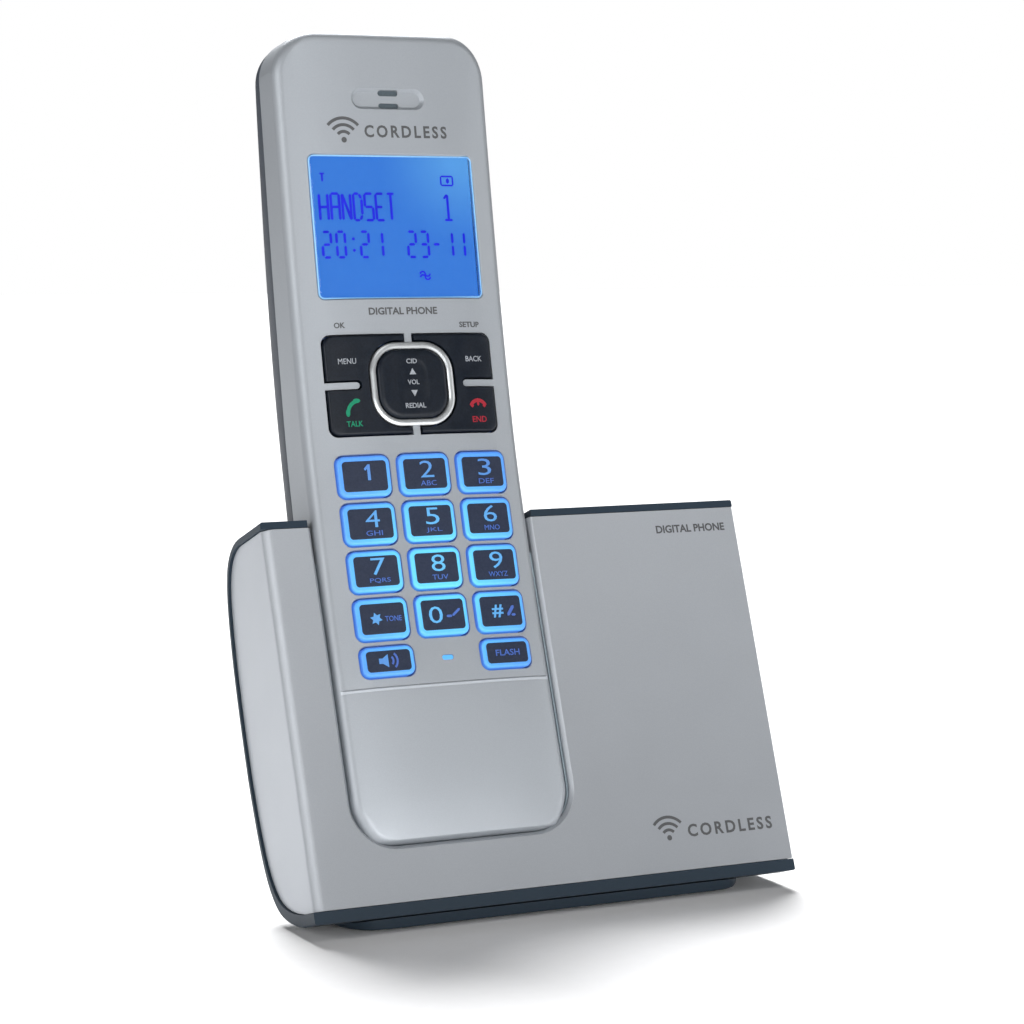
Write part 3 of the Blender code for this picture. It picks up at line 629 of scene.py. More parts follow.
liner_mat = look("Cradle_plastic", (0.30, 0.37, 0.41), 0.42, grain=(3500, 0.10), tint=(0.08, 60),
                 vary=0.05)
gloss_black = look("Gloss_black_plastic", (0.006, 0.009, 0.015), 0.36, spec=0.22, grain=(2600, 0.02),
                   tint=(0.2, 90), vary=0.05)
cap_mat = look("Smoked_cap", (0.018, 0.022, 0.036), 0.36, spec=0.25, grain=(2600, 0.02),
               tint=(0.15, 300), vary=0.05,
               glow=((0.006, 0.012, 0.03), (0.002, 0.004, 0.01), 1.0, LAMP, 0.0, 0.05))
glow_mat = look("Lit_key_plastic", (0.06, 0.17, 0.36), 0.34, spec=0.35, grain=(1800, 0.02),
                tint=(0.08, 200),
                glow=((0.10, 0.62, 0.82), (0.045, 0.20, 0.62), 1.0, LAMP, 0.005, 0.026))
# painted shade on the keys' glow: deeper blue on what doesn't face forwards, down and a little left
turn_color(glow_mat, (-0.25, -COS - 0.5 * SIN, SIN - 0.5 * COS), (0.040, 0.12, 0.50), 0.35, 0.90)
digit_mat = look("Lit_digit", (0.05, 0.14, 0.3), grain=(1800, 0.01), tint=(0.08, 300),
                 glow=((0.10, 0.50, 0.80), (0.035, 0.10, 0.40), 0.8, LAMP, 0.006, 0.027))
letter_mat = look("Lit_letters", (0.03, 0.06, 0.2), grain=(1800, 0.01), tint=(0.08, 300),
                  glow=((0.04, 0.12, 0.42), (0.035, 0.08, 0.32), 0.8, LAMP, 0.006, 0.030))
# the display's backlight, brighter towards its upper right corner as a painted highlight
lcd_mat = look("Lit_display", (0.02, 0.06, 0.12), 0.25, spec=0.3, grain=(900, 0.0), tint=(0.04, 45),
               glow=((0.105, 0.330, 0.70), (0.036, 0.165, 0.60), 0.95, HIGHLIGHT_CORNER, 0.003, 0.018))
lcd_ink = look("Display_segments", (0.010, 0.012, 0.35), spec=0.2, grain=(900, 0.0), tint=(0.06, 200),
               glow=((0.008, 0.010, 0.40), (0.010, 0.012, 0.45), 0.9))
lcd_edge = look("Display_lit_edge", (0.2, 0.35, 0.5), 0.3, grain=(900, 0.02), tint=(0.06, 80),
                glow=((0.06, 0.26, 0.58), (0.10, 0.34, 0.62), 0.6))
ink = look("Dark_print", (0.060, 0.062, 0.066), 0.45, grain=(6000, 0.02), tint=(0.12, 300))
white_ink = look("Pale_print", (0.27, 0.29, 0.32), 0.5, grain=(6000, 0.02), tint=(0.12, 300))
green_ink = look("Green_print", (0.006, 0.16, 0.085), 0.5,
                 glow=((0.002, 0.10, 0.05), (0.003, 0.12, 0.06), 0.6), **PRINT)
red_ink = look("Red_print", (0.24, 0.014, 0.024), 0.5,
               glow=((0.14, 0.006, 0.012), (0.16, 0.008, 0.014), 0.5), **PRINT)
# painted shadow for the earpiece slots
slot_shadow_sheet = look("Grille_shadow", (0.055, 0.075, 0.09), 0.6, grain=(5000, 0.15), tint=(0.15, 300))
rubber = look("Rubber", (0.018, 0.018, 0.020), 0.8, spec=0.3, grain=(3000, 0.25), tint=(0.2, 120),
              vary=0.08)
nickel = look("Nickel_contact", (0.72, 0.69, 0.61), 0.24, 1.0, grain=(2400, 0.06), tint=(0.08, 300),
              vary=0.08, streak=(1.0, 1.0, 0.12))
steel = look("Zinc_steel", (0.52, 0.53, 0.55), 0.32, 1.0, grain=(2600, 0.10), tint=(0.10, 300),
             vary=0.08, streak=(1.0, 0.2, 1.0))
silicone = look("Silicone_mat", (0.32, 0.46, 0.66), 0.65, grain=(2200, 0.12), tint=(0.10, 80))
cell_mat = look("Cell_wrap", (0.05, 0.24, 0.13), 0.30, 0.25, coat=0.4, grain=(700, 0.04),
                tint=(0.16, 90), vary=0.05, streak=(1.0, 1.0, 0.1))


def board_look():
    """Solder mask over copper tracks."""
    mat = look("Circuit_board", (0.012, 0.13, 0.06), 0.38, coat=0.3, grain=(1500, 0.1),
               tint=(0.15, 120))
    tree = mat.node_tree
    where = add_node(tree, "TexCoord")
    tracks = add_node(tree, "TexBrick", ("Scale", 220.0), ("Mortar Size", 0.035),
                      ("Color1", (0.010, 0.12, 0.055, 1)), ("Color2", (0.012, 0.16, 0.07, 1)),
                      ("Mortar", (0.05, 0.30, 0.13, 1)))
    tree.links.new(where.outputs["Object"], tracks.inputs["Vector"])
    tree.links.new(tracks.outputs["Color"], tree.nodes["Principled BSDF"].inputs["Base Color"])
    return mat


def glass_look():
    """Clear window with faintly uneven gloss."""
    mat = bpy.data.materials.new("Display_window")
    mat.use_nodes = True
    tree = mat.node_tree
    shader = set_values(tree.nodes["Principled BSDF"], ("Base Color", (0.86, 0.93, 1.0, 1)),
                        ("Transmission Weight", 1.0), ("IOR", 1.2))
    where = add_node(tree, "TexCoord")
    smudge = add_node(tree, "TexNoise", ("Scale", 120.0))
    spread = add_node(tree, "ValToRGB")
    spread.color_ramp.elements[0].color = (0.005, 0.005, 0.005, 1)
    spread.color_ramp.elements[1].color = (0.03, 0.03, 0.03, 1)
    link = tree.links.new
    link(where.outputs["Object"], smudge.inputs["Vector"])
    link(smudge.outputs["Fac"], spread.inputs["Fac"])
    link(spread.outputs["Color"], shader.inputs["Roughness"])
    return mat


board_mat, glass_mat = board_look(), glass_look()

# CAD nodes that keep their shape get their finish here
KEPT = ((liner_mat, "cradle_liner"), (board_mat, "base_pcb handset_pcb"),
        (gloss_black, "line_jack dc_jack"), (silicone, "keypad_mat lcd_light_plate"),
        (lcd_mat, "lcd_module"), (glass_mat, "lcd_window"), (graphite, "base_bottom_cover"),
        (cell_mat, "battery_cell_left battery_cell_right"),
        (nickel, "battery_contact_bottom battery_contact_top handset_contact_left"
                 " handset_contact_right charge_pin_left charge_pin_right"),
        (rubber, "rubber_foot_1 rubber_foot_2 rubber_foot_3 rubber_foot_4"),
        (steel, "earpiece_speaker ringer_speaker microphone handset_screw_left"
                " handset_screw_right cover_screw_1 cover_screw_2 cover_screw_3 cover_screw_4"))
for mat, names in KEPT:
    for node in names.split():
        mesh = frame["nodes"][node].data
        mesh.materials.clear()
        mesh.materials.append(mat)


# ------------------------ handset
def cluster(name, y0, levels, shrink):
    """Everything the two C shaped keys may fill, shrunk by a clearance."""
    body = slab(name, 0, CLUSTER_V, CLUSTER_W - 2 * shrink, CLUSTER_H - 2 * shrink, 2.0, levels, 8)
    far = levels[-1][0] + 1
    ring = slab("ring", 0, CLUSTER_V, RING_W + 2 * shrink, RING_H + 2 * shrink, RING_R + shrink,
                ((y0 - 1, 0), (far, 0)), 12)
    reach = BRIDGE / 2 + shrink
    bridge = box("bridge", -reach, reach, y0 - 1, far, CLUSTER_V - 15, CLUSTER_V + 15)
    tall = FINGER / 2 + shrink
    tip, run = FINGER_TIP - shrink, ((y0 - 1, 0), (far, 0))
    left = slab("left", -tip - 9, CLUSTER_V, 18, 2 * tall, tall, run, 5)
    right = slab("right", tip + 9, CLUSTER_V, 18, 2 * tall, tall, run, 5)
    return cut(body, ring, bridge, left, right)


def digit_places():
    names = ("1", "2", "3", "4", "5", "6", "7", "8", "9", "star", "0", "hash")
    for i, name in enumerate(names):
        yield name, (i % 3 - 1) * KEY_PITCH + KEY_SHIFT, KEY_ROWS[i // 3], KEY_H
    yield "speaker", KEY_SHIFT - KEY_PITCH, LOW_ROW, LOW_H
    yield "flash", KEY_SHIFT + KEY_PITCH, LOW_ROW, LOW_H


def flared(name, x, v, w, h, r, chamfer, steps):
    """Hole cutter whose rim leaves a small chamfer on the front."""
    return slab(name, x, v, w, h, r, ((-0.6, -0.6 - chamfer), (chamfer, 0), (5, 0)), steps)


def handset_front():
    mid = HAND_L / 2
    levels = fillet(2.0, 9) + [(SEAM - 0.35, 0.0), (SEAM - 0.15, 0.12), (SEAM - 0.15, SHELL),
                               (FACE_T, SHELL)]
    shell = slab("Handset_front", 0, mid, HAND_W, HAND_L, HAND_R, levels, 14)
    cut(shell, flared("lcd", 0, LCD_V, LCD_W, LCD_H, 1.2, 0.3, 5))
    for name, x, v, h in digit_places():
        cut(shell, flared("hole", x, v, KEY_W + 2 * GAP, h + 2 * GAP, 1.9, 0.1, 6))
    cut(shell, slab("nav", 0, CLUSTER_V, NAV_W + 0.7, NAV_H + 0.7, NAV_R + 0.3, THROUGH, 10))
    cut(shell, cluster("keys", -3, THROUGH, 0.0))
    cut(shell, slab("recess", 0, EAR_V, EAR_W, EAR_H, 2.1, ((-1, -1.1), (0.0, -0.1), (0.75, 0.6)), 10))
    for dv in (1.35, -1.35):
        cut(shell, slab("slot", 0.4, EAR_V + dv, 4.6, 1.2, 0.6, ((-2, 0), (5, 0)), 5))
    cut(shell, slab("mic", 0.5, LOW_ROW, 2.6, 1.1, 0.55, ((-2, 0), (5, 0)), 5))
    step = [(-3, CHIN_V + 0.3), (0.34, CHIN_V + 0.3), (0.34, CHIN_V - 0.5), (-3, CHIN_V - 0.5)]
    cut(shell, prism_x("chin", step, -30, 30))
    lattice(shell, 4.05, 5.0)
    place(shell, front_point, hand_silver, "handset", ("handset_front_shell",))
    # the edge of the lower panel, a bevel across the front with a painted highlight: lighter paint
    # stands for the light it catches
    edge = slab("Chin_edge", 0, mid, HAND_W, HAND_L, HAND_R, fillet(2.0, 9) + [(3.4, 0.0)], 14)
    common(edge, prism_x("band", [(0.33, CHIN_V + 0.27), (0.12, CHIN_V + 0.20), (-0.02, CHIN_V - 0.02),
                                  (-0.02, CHIN_V - 0.47), (0.33, CHIN_V - 0.47)], -30, 30))
    lattice(edge, 4.05, 5.0)
    place(edge, front_point, painted_chin_highlight, "handset")
    ring = [(0.5, 0.0), (-0.1, 0.0), (-0.35, 0.12), (-0.52, 0.42), (-0.55, 0.8), (-0.5, 1.15),
            (-0.3, 1.4), (0.0, 1.46), (0.5, 1.46)]
    place(slab("Nav_ring", 0, CLUSTER_V, RING_W, RING_H, RING_R, ring, 12, closed=True), hand_point,
          silver_ring, "handset")
    rim = [(0.35, 0.02), (0.12, 0.02), (0.05, 0.12), (0.12, 0.28), (0.35, 0.28)]
    place(slab("Display_edge", 0, LCD_V, LCD_W, LCD_H, 1.2, rim, 5, closed=True), hand_point,
          lcd_edge, "handset")
    # a dark sheet behind the earpiece slots: painted shadow inside them
    place(slab("Earpiece_slot_shadow", 0.4, EAR_V, 7.0, 4.0, 0.6, ((1.15, 0), (1.5, 0)), 4), hand_point,
          slot_shadow_sheet, "handset")
    place(slab("Mic_light", 0.5, LOW_ROW, 2.5, 1.0, 0.5, ((0.02, 0.2), (0.1, 0), (1.2, 0)), 5),
          hand_point, glow_mat, "handset")


def handset_rear():
    mid = HAND_L / 2
    outer = ((SEAM + 0.15, 0.35), (SEAM + 0.4, 0.2), (12.5, 0.2), (14.2, 0.3), (15.4, 0.65),
             (16.6, 1.2), (17.6, 1.9), (18.6, 2.9), (19.4, 4.1), (20.1, 5.6), (20.65, 7.4), (21, 9.6))
    inner = ((10.0, 1.9), (14.2, 2.0), (16.2, 2.9), (17.8, 4.6), (19.2, 7.4))
    shell = slab("Handset_rear", 0, mid, HAND_W, HAND_L, HAND_R, outer, 14)
    cut(shell, slab("hollow", 0, mid, HAND_W, HAND_L, HAND_R, inner, 8))
    bay_mid, bay_len = (BAY_LO + BAY_HI) / 2, BAY_HI - BAY_LO
    door_mid, door_len = (DOOR_LO + DOOR_HI) / 2, DOOR_HI - DOOR_LO
    join(shell, slab("bay", 0, bay_mid, 2 * BAY_HALF + 2.4, bay_len + 2.4, 1.0,
                     ((8.9, 0), (19.6, 0)), 3))
    join(shell, slab("seat", 0, door_mid, 2 * DOOR_HALF + 3.0, door_len + 3.0, 1.5,
                     ((17.6, 0), (19.9, 0)), 4))
    for x in (-BOSS_X, BOSS_X):
        join(shell, drum("boss", x, BOSS_V, ((13.6, 3.9), (20.2, 3.9)), 32))
    cut(shell, slab("bay_cut", 0, bay_mid, 2 * BAY_HALF, bay_len, 0.6, ((9.9, 0), (23, 0)), 3))
    cut(shell, slab("door_cut", 0, door_mid, 2 * DOOR_HALF, door_len, 1.6,
                    ((19.3, 0), (20.8, 0), (22.4, -1.2)), 6))
    bore = ((12, 1.35), (18.4, 1.35), (18.4, 2.7), (20.75, 2.7), (22, 3.9))
    for x in (-BOSS_X, BOSS_X):
        cut(shell, drum("bore", x, BOSS_V, bore, 32))
    for k in range(5):
        cut(shell, slab("slot", 0, 142.0 + 2.6 * k, 12.0 - 1.3 * abs(k - 2), 1.2, 0.55,
                        ((17, 0), (24, 0)), 5))
    for x in (-9.0, 9.0):
        cut(shell, box("contact", x - 2.2, x + 2.2, 11.2, 15.6, -2, 5))
    lattice(shell, 0, 4.0)
    place(shell, rear_point, grey_shell, "handset", ("handset_rear_shell",))


def door_panel():
    mid = (DOOR_LO + DOOR_HI) / 2
    w, h = 2 * DOOR_HALF - 2 * GAP, DOOR_HI - DOOR_LO - 2 * GAP
    levels = ((19.55, 0), (20.75, 0), (20.9, 0.08), (21.0, 0.25))
    door = slab("Battery_door_panel", 0, mid, w, h, 1.4, levels, 6)
    for k in range(4):
        half, low = 5 - 0.6 * k, DOOR_LO + 4 + 1.6 * k
        cut(door, slab("grip", 0, low + 0.4, 2 * half, 0.8, 0.39, ((20.65, 0.15), (23, 0)), 4))
    lattice(door, 0, 4.0)
    place(door, hand_point, grey_shell, "battery_door", ("battery_door",))


LETTERS = {"2": "ABC", "3": "DEF", "4": "GHI", "5": "JKL", "6": "MNO", "7": "PQRS", "8": "TUV",
           "9": "WXYZ"}
ONE = ((-0.75, 0.75), (0.15, 1.65), (0.6, 1.65), (0.6, -1.65), (-0.05, -1.65), (-0.05, 0.75),
       (-0.45, 0.35))
HORN = ((-2.2, -0.55), (-1.4, -0.55), (-0.2, -1.35), (-0.2, 1.35), (-1.4, 0.55), (-2.2, 0.55))


def legend(name, x, v):
    """The large and the small print of a key whose middle is at (x, v)."""
    if name in LETTERS:
        text = LETTERS[name]
        return ([words(name, x + 0.4, v + 0.95, 3.5, 3.1, -0.004)],
                [words(text, x + 0.5, v - 2.0, 1.05, 3.6 + 0.9 * (len(text) - 3), 0.001)])
    if name == "1":
        return [polygon(moved(ONE, x + 0.5, v + 0.75))], []
    if name == "0":
        return ([words("0", x - 1.7, v, 3.5, 3.1, -0.002)],
                [bar(x + 0.6, v - 0.4, x + 2.0, v - 0.4, 0.5),
                 bar(x + 2.0, v - 0.4, x + 3.9, v + 1.1, 0.5)])
    if name == "star":
        spikes = [((0.75, 1.35)[i % 2], math.pi * i / 6 + 0.26) for i in range(12)]
        points = [(x - 1.5 + r * math.cos(a), v + r * math.sin(a)) for r, a in spikes]
        return [polygon(points)], [words("TONE", x + 2.2, v - 0.1, 1.1, 3.6, 0.01)]
    if name == "hash":
        return ([words("#", x - 0.9, v, 2.7, 2.6, 0.02)],
                [bar(x + 1.3, v - 1.1, x + 3.0, v + 1.1, 0.7),
                 bar(x + 2.2, v - 0.9, x + 3.3, v - 0.9, 0.5)])
    if name == "speaker":
        return [polygon(moved(HORN, x, v))], [arc(x - 0.1, v, r, 0.42, -48, 48, 8) for r in (1.0, 1.9)]
    return [], [words("FLASH", x, v, 1.3, 5.6, 0.01)]


def keys():
    glow = [(-0.64, 0.62), (-0.62, 0.45), (-0.54, 0.22), (-0.40, 0.07), (-0.15, 0.0), (3.3, 0.0)]
    cap = [(-0.80, 0.16), (-0.78, 0.06), (-0.72, 0.0), (-0.5, 0.0)]
    for name, x, v, h in digit_places():
        body = "key_" + name
        place(slab("Glow_" + name, x, v, KEY_W, h, 1.7, glow, 8), hand_point,
              glow_mat, body, (body,))
        inset = 1.15 if h > 7 else 0.95
        place(slab("Cap_" + name, x, v, KEY_W - 1.9, h - 2 * inset, 0.75, cap, 5), hand_point,
              cap_mat, body)
        large, small = legend(name, x, v)
        if large:
            print_on("Digit_" + name, large, ON_CAP, digit_mat, body)
        if small:
            print_on("Letters_" + name, small, ON_CAP, letter_mat, body)


def function_keys():
    mid = CLUSTER_V
    nav = slab("Nav_pad", 0, mid, NAV_W, NAV_H, NAV_R,
               ((-0.75, 1.3), (-0.74, 0.9), (-0.66, 0.5), (-0.48, 0.2), (-0.2, 0.03), (0.1, 0),
                (3.2, 0)), 12)
    cut(nav, slab("dish", 0, mid, 7.4, 11.0, 3.0,
                  ((-3, -0.6), (-0.75, 0.0), (-0.66, 0.5), (-0.62, 1.4)), 8))
    place(nav, hand_point, gloss_black, "nav_key", ("nav_key",))
    up = [(-0.75, mid + 1.9), (0.75, mid + 1.9), (0.0, mid + 3.2)]
    down = [(-0.7, mid - 1.4), (0.0, mid - 2.7), (0.7, mid - 1.4)]
    marks = [words("CID", 0, mid + 4.7, 1.0, 2.4, 0.01), polygon(up), polygon(down),
             words("VOL", 0, mid + 0.3, 1.0, 2.6, 0.01),
             words("REDIAL", 0, mid - 4.6, 1.05, 4.6, 0.012)]
    print_on("Nav_marks", marks, ON_NAV, white_ink, "nav_key")

    levels = ((-0.55, 0.5), (-0.53, 0.32), (-0.45, 0.16), (-0.3, 0.04), (-0.1, 0.0), (3.2, 0.0))
    for name, side in (("function_key_left", -1), ("function_key_right", 1)):
        key = cluster(name.title(), -3, levels, 0.35)
        cut(key, box("half", -side * BRIDGE / 4, -side * 40, -4, 8, 60, 120))
        lattice(key, 4.0, 0)
        place(key, hand_point, gloss_black, name, (name,), sharp=38)

    left, low = -14.0, mid - 5.0
    talk = [arc(left + 1.4, low - 0.8, 2.5, 0.75, 92, 178, 10),
            polygon([(left + 0.9 + px * 0.9, low + 1.75 + pv * 0.5) for px, pv in circle(0.9, 12)]),
            polygon([(left - 1.15 + px * 0.5, low - 0.7 + pv * 0.9) for px, pv in circle(0.9, 12)]),
            words("TALK", left + 0.1, mid - 8.0, 1.15, 3.5, 0.012)]
    menu = words("MENU", left - 0.3, mid + 5.0, 1.15, 3.9, 0.001)
    print_on("Talk_marks", talk, ON_KEY, green_ink, "function_key_left")
    print_on("Menu_mark", [menu], ON_KEY, white_ink, "function_key_left")

    right, low = 14.6, mid - 4.4
    back = words("BACK", right, mid + 5.0, 1.15, 3.9, 0.012)
    end = [arc(right, low - 1.3, 1.9, 0.75, 25, 155),
           bar(right - 1.9, low - 0.55, right - 1.0, low - 0.55, 0.8),
           bar(right + 1.0, low - 0.55, right + 1.9, low - 0.55, 0.8),
           bar(right, low - 0.6, right, low + 1.1, 0.5),
           words("END", right, mid - 7.8, 1.25, 3.4, 0.014)]
    print_on("Back_mark", [back], ON_KEY, white_ink, "function_key_right")
    print_on("End_marks", end, ON_KEY, red_ink, "function_key_right")


# strokes of the display's word as (x0, z0, x1, z1) on a grid 2 wide and 4 high
H = ((0, 0, 0, 4), (2, 0, 2, 4), (0, 2, 2, 2))
LCD_WORD = (H, H + ((0, 4, 2, 4),), ((0, 0, 0, 4), (2, 0, 2, 4), (0, 4, 2, 0)),
            ((0, 0, 0, 4), (0, 4, 1.4, 4), (1.4, 4, 2, 3.2), (2, 3.2, 2, 0.8), (2, 0.8, 1.4, 0),
             (1.4, 0, 0, 0)),
            ((0, 4, 2, 4), (0, 2, 0, 4), (0, 2, 2, 2), (2, 0, 2, 2), (0, 0, 2, 0)),
            ((0, 0, 0, 4), (0, 4, 2, 4), (0, 2, 1.7, 2), (0, 0, 2, 0)),
            ((0, 4, 2, 4), (1, 0, 1, 4)))
# bars as (x0, v0, x1, v1, width): the handset's number, then the aerial and the battery
LCD_ONE = ((12.6, 129.0, 12.6, 134.4, 0.56), (11.7, 133.4, 12.6, 134.4, 0.5),
           (11.6, 129.0, 13.6, 129.0, 0.5))
LCD_SIGNS = ((-15.6, 136.9, -15.6, 138.7, 0.4), (-16.2, 138.6, -15.0, 138.6, 0.35),
             (11.4, 138.2, 14.2, 138.2, 0.35), (11.4, 136.3, 14.2, 136.3, 0.35),
             (11.4, 136.3, 11.4, 138.2, 0.35), (14.2, 136.3, 14.2, 138.2, 0.35),
             (13.0, 136.6, 13.0, 137.9, 0.7))


def display():
    left, low, wide, tall, stroke = -16.6, 128.9, 0.9, 1.38, 0.56
    parts = []
    for i, strokes in enumerate(LCD_WORD):
        x = left + 2.52 * i
        parts += [bar(x + x0 * wide, low + z0 * tall, x + x1 * wide, low + z1 * tall, stroke)
                  for x0, z0, x1, z1 in strokes]
    parts += [bar(*line) for line in LCD_ONE]
    parts += seven("20:21", left, 121.2, 1.85, 5.3, 3.1, stroke)
    parts += seven("23-11", 2.6, 121.2, 1.85, 5.3, 2.85, stroke)
    parts += [bar(*line) for line in LCD_SIGNS]
    parts += [arc(5.4 + dx, 117.2 + dv, 0.6, 0.35, a, a + 170, 6) for dx, dv, a in
              ((0, 0.35, 5), (1.1, 0.55, 185), (0, -0.35, 5), (1.1, -0.15, 185))]
    print_on("Display_text", parts, ON_LCD, lcd_ink, "handset")


def mark(x, v, size):
    """Generic wireless sign: a dot under three arcs."""
    low = v - size * 0.38
    return [polygon(moved(circle(size * 0.11, 16), x, low))] + [
        arc(x, low, size * r, size * 0.12, 42, 138) for r in (0.32, 0.58, 0.84)]


def handset_marks():
    parts = mark(-10.6, 147.4, 5.4)
    parts += [words("CORDLESS", -5.9, 147.2, 2.6, 19.0, 0.028, align=0.0, spacing=1.35),
              words("DIGITAL PHONE", -0.5, 109.7, 1.55, 15.6, 0.03),
              words("OK", -15.0, 106.9, 1.2, weight=0.03),
              words("SETUP", 14.6, 106.7, 1.2, 4.8, 0.03)]
    print_on("Handset_marks", parts, ON_SHELL, ink, "handset")


handset_front()
handset_rear()
door_panel()
keys()
function_keys()
display()
handset_marks()

# ------------------------ base
SIDE_LINE = smooth_line(SIDE[1:-1])
SIDE_FINE = [SIDE[0]] + SIDE_LINE + [SIDE[-1]]


def rim_outline(extra=0.0, bottom=RIM_BOTTOM):
    """Side outline of the dark rim; its lower edge is the given amount below the silver shell."""

    def growth(normal):
        if normal.x < -0.9:
            return 0.0
        if normal.y > 0.5:
            return RIM_TOP + extra
        return RIM_REAR + (bottom - RIM_REAR) * max(0.0, -normal.y) + extra

    return grow(SIDE_FINE, growth)


def pocket_cut(name, grow_by, levels, top=95.0):
    """U shaped cutter, open at the top; levels are (n, flare) pairs."""
    rings = []
    for n, flare in levels:
        left, right = POCKET_L - grow_by - flare, POCKET_R + grow_by + flare
        low, rad = POCKET_U - grow_by - flare, POCKET_RAD + grow_by + flare
        ring = [(right, n, top), (left, n, top)]
        for cx, start in ((left + rad, 180), (right - rad, 270)):
            for i in range(15):
                a = math.radians(start + 90 * i / 14)
                ring.append((cx + rad * math.cos(a), n, low + rad + rad * math.sin(a)))
        rings.append(ring)
    return loft(name, rings)


def base_front():
    body = prism_x("Base_front", SIDE_FINE, 0, FACE_W)
    bm = bmesh.new()
    bm.from_mesh(body.data)
    for side, size, profile in ((0.0, 1.9, 0.34), (FACE_W, 0.5, 0.5)):
        edges = [e for e in bm.edges
                 if all(abs(v.co.y) < 1e-4 and abs(v.co.x - side) < 1e-4 for v in e.verts)]
        bmesh.ops.bevel(bm, geom=edges, offset=size, segments=6, affect="EDGES", profile=profile)
    bm.to_mesh(body.data)
    bm.free()
    cut(body, box("inside", WALL, FACE_W - WALL, WALL, 60, -30, 120))
    cut(body, pocket_cut("pocket", 0, ((-3, 3.75), (0.0, POCKET_FLARE), (0.3, 0.42), (0.9, 0.0),
                                       (40, 0.0))))
    lattice(body, 0, 9.0)
    place(body, slab_point, silver, "base", ("base_front_shell",))


def base_rear():
    levels = ((-RIM_SIDE, -0.5), (-RIM_SIDE + 0.12, -0.2), (-RIM_SIDE + 0.4, 0.0),
              (FACE_W - 0.35, 0.0), (FACE_W - 0.1, -0.12), (FACE_W, -0.35))
    outer = loft("Base_rear", [[(x, n, u) for n, u in rim_outline(extra, RIM_FOOT)]
                               for x, extra in levels])
    seat = prism_x("seat", grow(SIDE_FINE, lambda n: 4.0 if n.x < -0.9 else 0.12), -9, FACE_W + 9)
    cut(outer, seat)
    mid = prism_x("mid", grow(SIDE_FINE, lambda n: 0.0 if n.x < -0.9 else 0.7),
                  WALL + GAP, FACE_W - WALL - GAP)
    cut(mid, prism_x("core", grow(SIDE_FINE, lambda n: 4.0 if n.x < -0.9 else -1.6), -9, FACE_W + 9))
    cut(mid, box("plate", -9, 130, -9, WALL + GAP, -30, 120))
    join(outer, mid)
    left, right = POCKET_L - POCKET_FLARE, POCKET_R + POCKET_FLARE
    cut(outer, box("mouth", left, right, -9, 21.5, 58, 120))
    cut(outer, box("rim_gap", left, right, -9, 60, 71.5, 120))
    cut(outer, drum("button", BUTTON_X, BUTTON_U, ((18, 4.8), (25.6, 4.8), (28, 7.2)), 40))
    place(outer, slab_point, graphite, "base", ("base_rear_housing",))


PLAN_FINE = smooth_line(PLAN)
FEET = ((19.0, 10.6), (91.0, 10.6), (25.5, 53.5), (84.5, 53.5))
SCREWS = ((21.5, 38.5), (88.5, 38.5), (55.0, 38.5), (55.0, 54.0))


def plan_outline(inset):
    """The plinth's outline seen from above."""
    full = PLAN_FINE + [(FACE_W - x, y) for x, y in reversed(PLAN_FINE)]
    return grow(full, -inset)


def slab_shadow(name, extra):
    """Cutter in flat space for the room that the leaning slab takes."""
    pts = [(n * COS + u * SIN, FACE_RISE - n * SIN + u * COS) for n, u in rim_outline(extra)]
    return prism_x(name, pts, -20, 130)


def stand():
    levels = ((0.5, 0.5), (0.65, 0.2), (1.0, 0.0), (60, 0.0))
    body = loft("Stand", [[(x, y, z) for x, y in plan_outline(inset)] for z, inset in levels])
    profile = [(-10, 0.4), (70, 0.4), (70, 14.6), (61.0, 14.6), (60.4, 15.4), (59.4, 16.5),
               (41.9, 37.1), (41.0, 37.7), (40.0, 38.0), (30, 38.0), (15, 4.5), (-10, 4.5)]
    common(body, prism_x("profile", profile, -20, 130))
    cut(body, slab_shadow("shadow", GAP))
    hollow = loft("hollow", [[(x, y, z) for x, y in plan_outline(1.9)] for z in (-1, 58)])
    inner = ((22.0, -1), (58.6, -1), (58.6, 14.6), (57.4, 15.9), (40.6, 35.6), (22.0, 35.6))
    common(hollow, prism_x("inner", inner, -20, 130))
    cut(hollow, slab_shadow("front_wall", GAP + 1.8))
    for x, y in SCREWS:
        cut(hollow, drum_z("boss", x, y, ((2.2, 2.7), (60, 2.7)), 24))
    cut(body, hollow)
    for x, y in SCREWS:
        cut(body, drum_z("bore", x, y, ((1, 1.35), (7.0, 1.35)), 24))
    cut(body, box("line_window", 33.3, 47.3, 55, 64, 2.1, 14.1),
        box("dc_window", 62.7, 72.3, 55, 64, 2.1, 13.1))
    for x, y in FEET:
        cut(body, drum_z("pad", x, y, ((-1, 3.9), (1.3, 3.9)), 32))
    place(body, flat, graphite, "base", ("base_stand",))


def page_button():
    levels = ((20.0, 5.6), (21.2, 5.6), (21.2, 4.5), (26.2, 4.5), (26.45, 4.4), (26.62, 4.15),
              (26.7, 3.7), (26.62, 2.4), (26.55, 1.0))
    button = drum("Page_button", BUTTON_X, BUTTON_U, levels, 48)
    place(button, slab_point, graphite, "page_button", ("page_button",))


def base_marks():
    parts = [words("DIGITAL PHONE", 98.6, 73.2, 1.75, 17.0, 0.03)] + mark(81.0, 9.0, 5.2)
    parts.append(words("CORDLESS", 85.6, 8.1, 2.7, 20.6, 0.028, align=0.0, spacing=1.35))
    print_on("Base_marks", parts, ON_BASE, ink, "base")


def cradle_edge():
    """Thin lip of the cradle that closes the slit beside the handset."""
    lip = pocket_cut("Cradle_edge", 0.15, ((1.5, 0.0), (2.3, 0.0)), 70.0)
    inner = pocket_cut("inner", -0.30, ((0.0, 0.0), (5.0, 0.0)))
    for vert in inner.data.vertices:
        if vert.co.z < 60:
            vert.co.z -= 0.2
    place(cut(lip, inner), slab_point, liner_mat, "base")


base_front()
base_rear()
cradle_edge()
stand()
page_button()
base_marks()

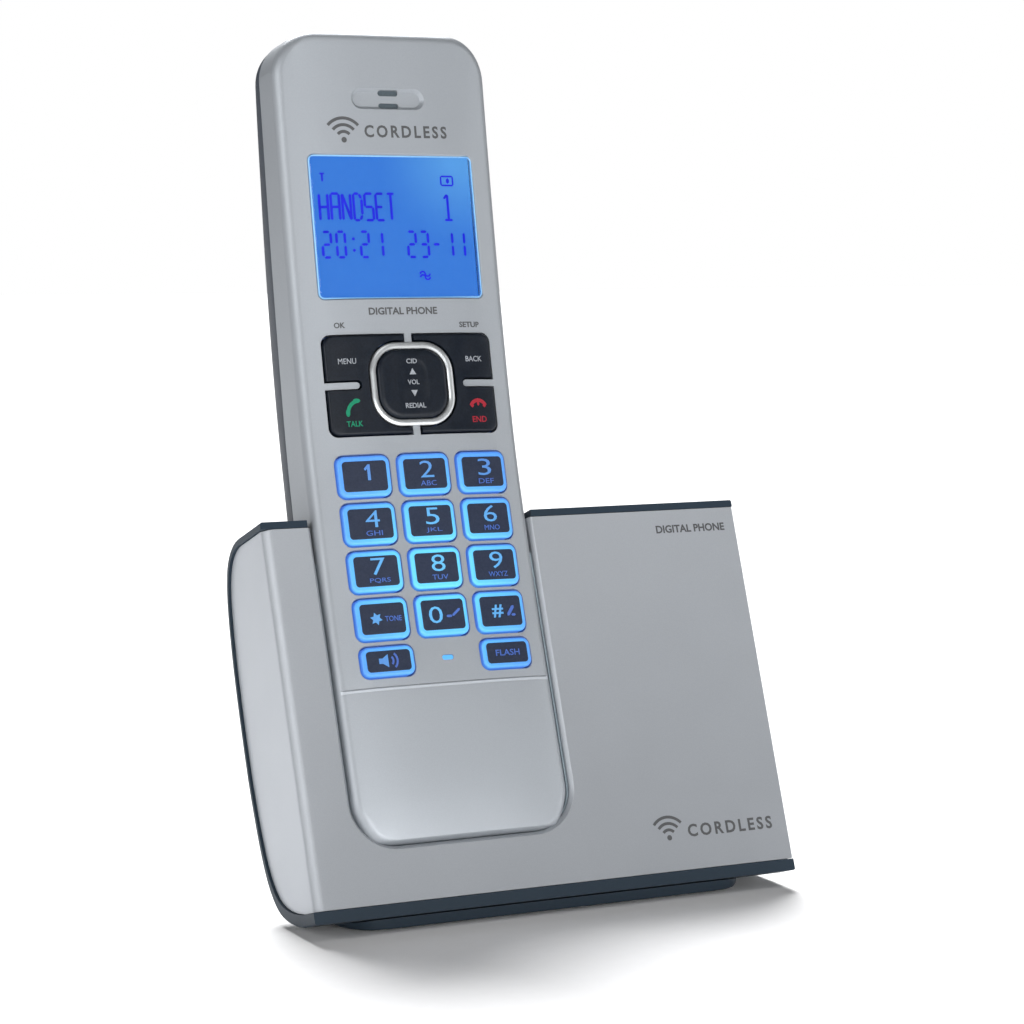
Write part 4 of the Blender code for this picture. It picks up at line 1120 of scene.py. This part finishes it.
# ------------------------ floor and studio light
floor_mat = look("Pale_floor", (0.86, 0.86, 0.865), 0.7, spec=0.1, grain=(300, 0.01), tint=(0.006, 8))
floor = obj("Floor", [(-6, -6, 0), (6, -6, 0), (6, 6, 0), (-6, 6, 0)], [[0, 1, 2, 3]])
floor.data.materials.append(floor_mat)

scene = bpy.context.scene
scene.view_settings.view_transform = "Standard"
world = bpy.data.worlds.new("Studio")
scene.world = world
world.use_nodes = True
tree = world.node_tree
tree.nodes.clear()
# white to the camera, almost dark to the object
path = add_node(tree, "LightPath")
soft = add_node(tree, "Background", ("Color", (0.95, 0.97, 1.0, 1)), ("Strength", 0.02))
white = add_node(tree, "Background", ("Color", (1, 1, 1, 1)))
mix = add_node(tree, "MixShader")
out = add_node(tree, "OutputWorld")
link = tree.links.new
link(path.outputs["Is Camera Ray"], mix.inputs["Fac"])
link(soft.outputs["Background"], mix.inputs[1])
link(white.outputs["Background"], mix.inputs[2])
link(mix.outputs["Shader"], out.inputs["Surface"])


def lamp(name, kind, where, aim, energy, size):
    """A sun of an angular size or a rectangular lamp of (width, height)."""
    data = bpy.data.lights.new(name, kind)
    data.energy = energy
    if kind == "SUN":
        data.angle = size
    else:
        data.shape, data.size, data.size_y = "RECTANGLE", size[0], size[1]
    ob = bpy.data.objects.new(name, data)
    scene.collection.objects.link(ob)
    ob.location = where
    ob.rotation_euler = (Vector(aim) - Vector(where)).to_track_quat("-Z", "Y").to_euler()


lamp("Back_key", "SUN", (0.15, 0.7, 0.9), (0, 0, 0), 6.8, math.radians(30))
lamp("Front_low", "AREA", (-0.1, -1.4, 0.3), (0, 0, 0.08), 7.4, (1.2, 0.4))
lamp("Front_high", "AREA", (0.1, -0.9, 1.1), (0, 0, 0.08), 2.1, (0.6, 0.4))
lamp("Left_softbox", "AREA", (-0.95, -0.42, 0.42), (0, 0, 0.08), 3.5, (0.4, 0.4))
lamp("Right_softbox", "AREA", (1.0, -0.5, 0.35), (0, 0, 0.08), 2.0, (0.6, 0.6))
lamp("Table_strip", "AREA", (0.0, -0.5, 0.045), (0, 0, 0.03), 0.55, (0.4, 0.07))
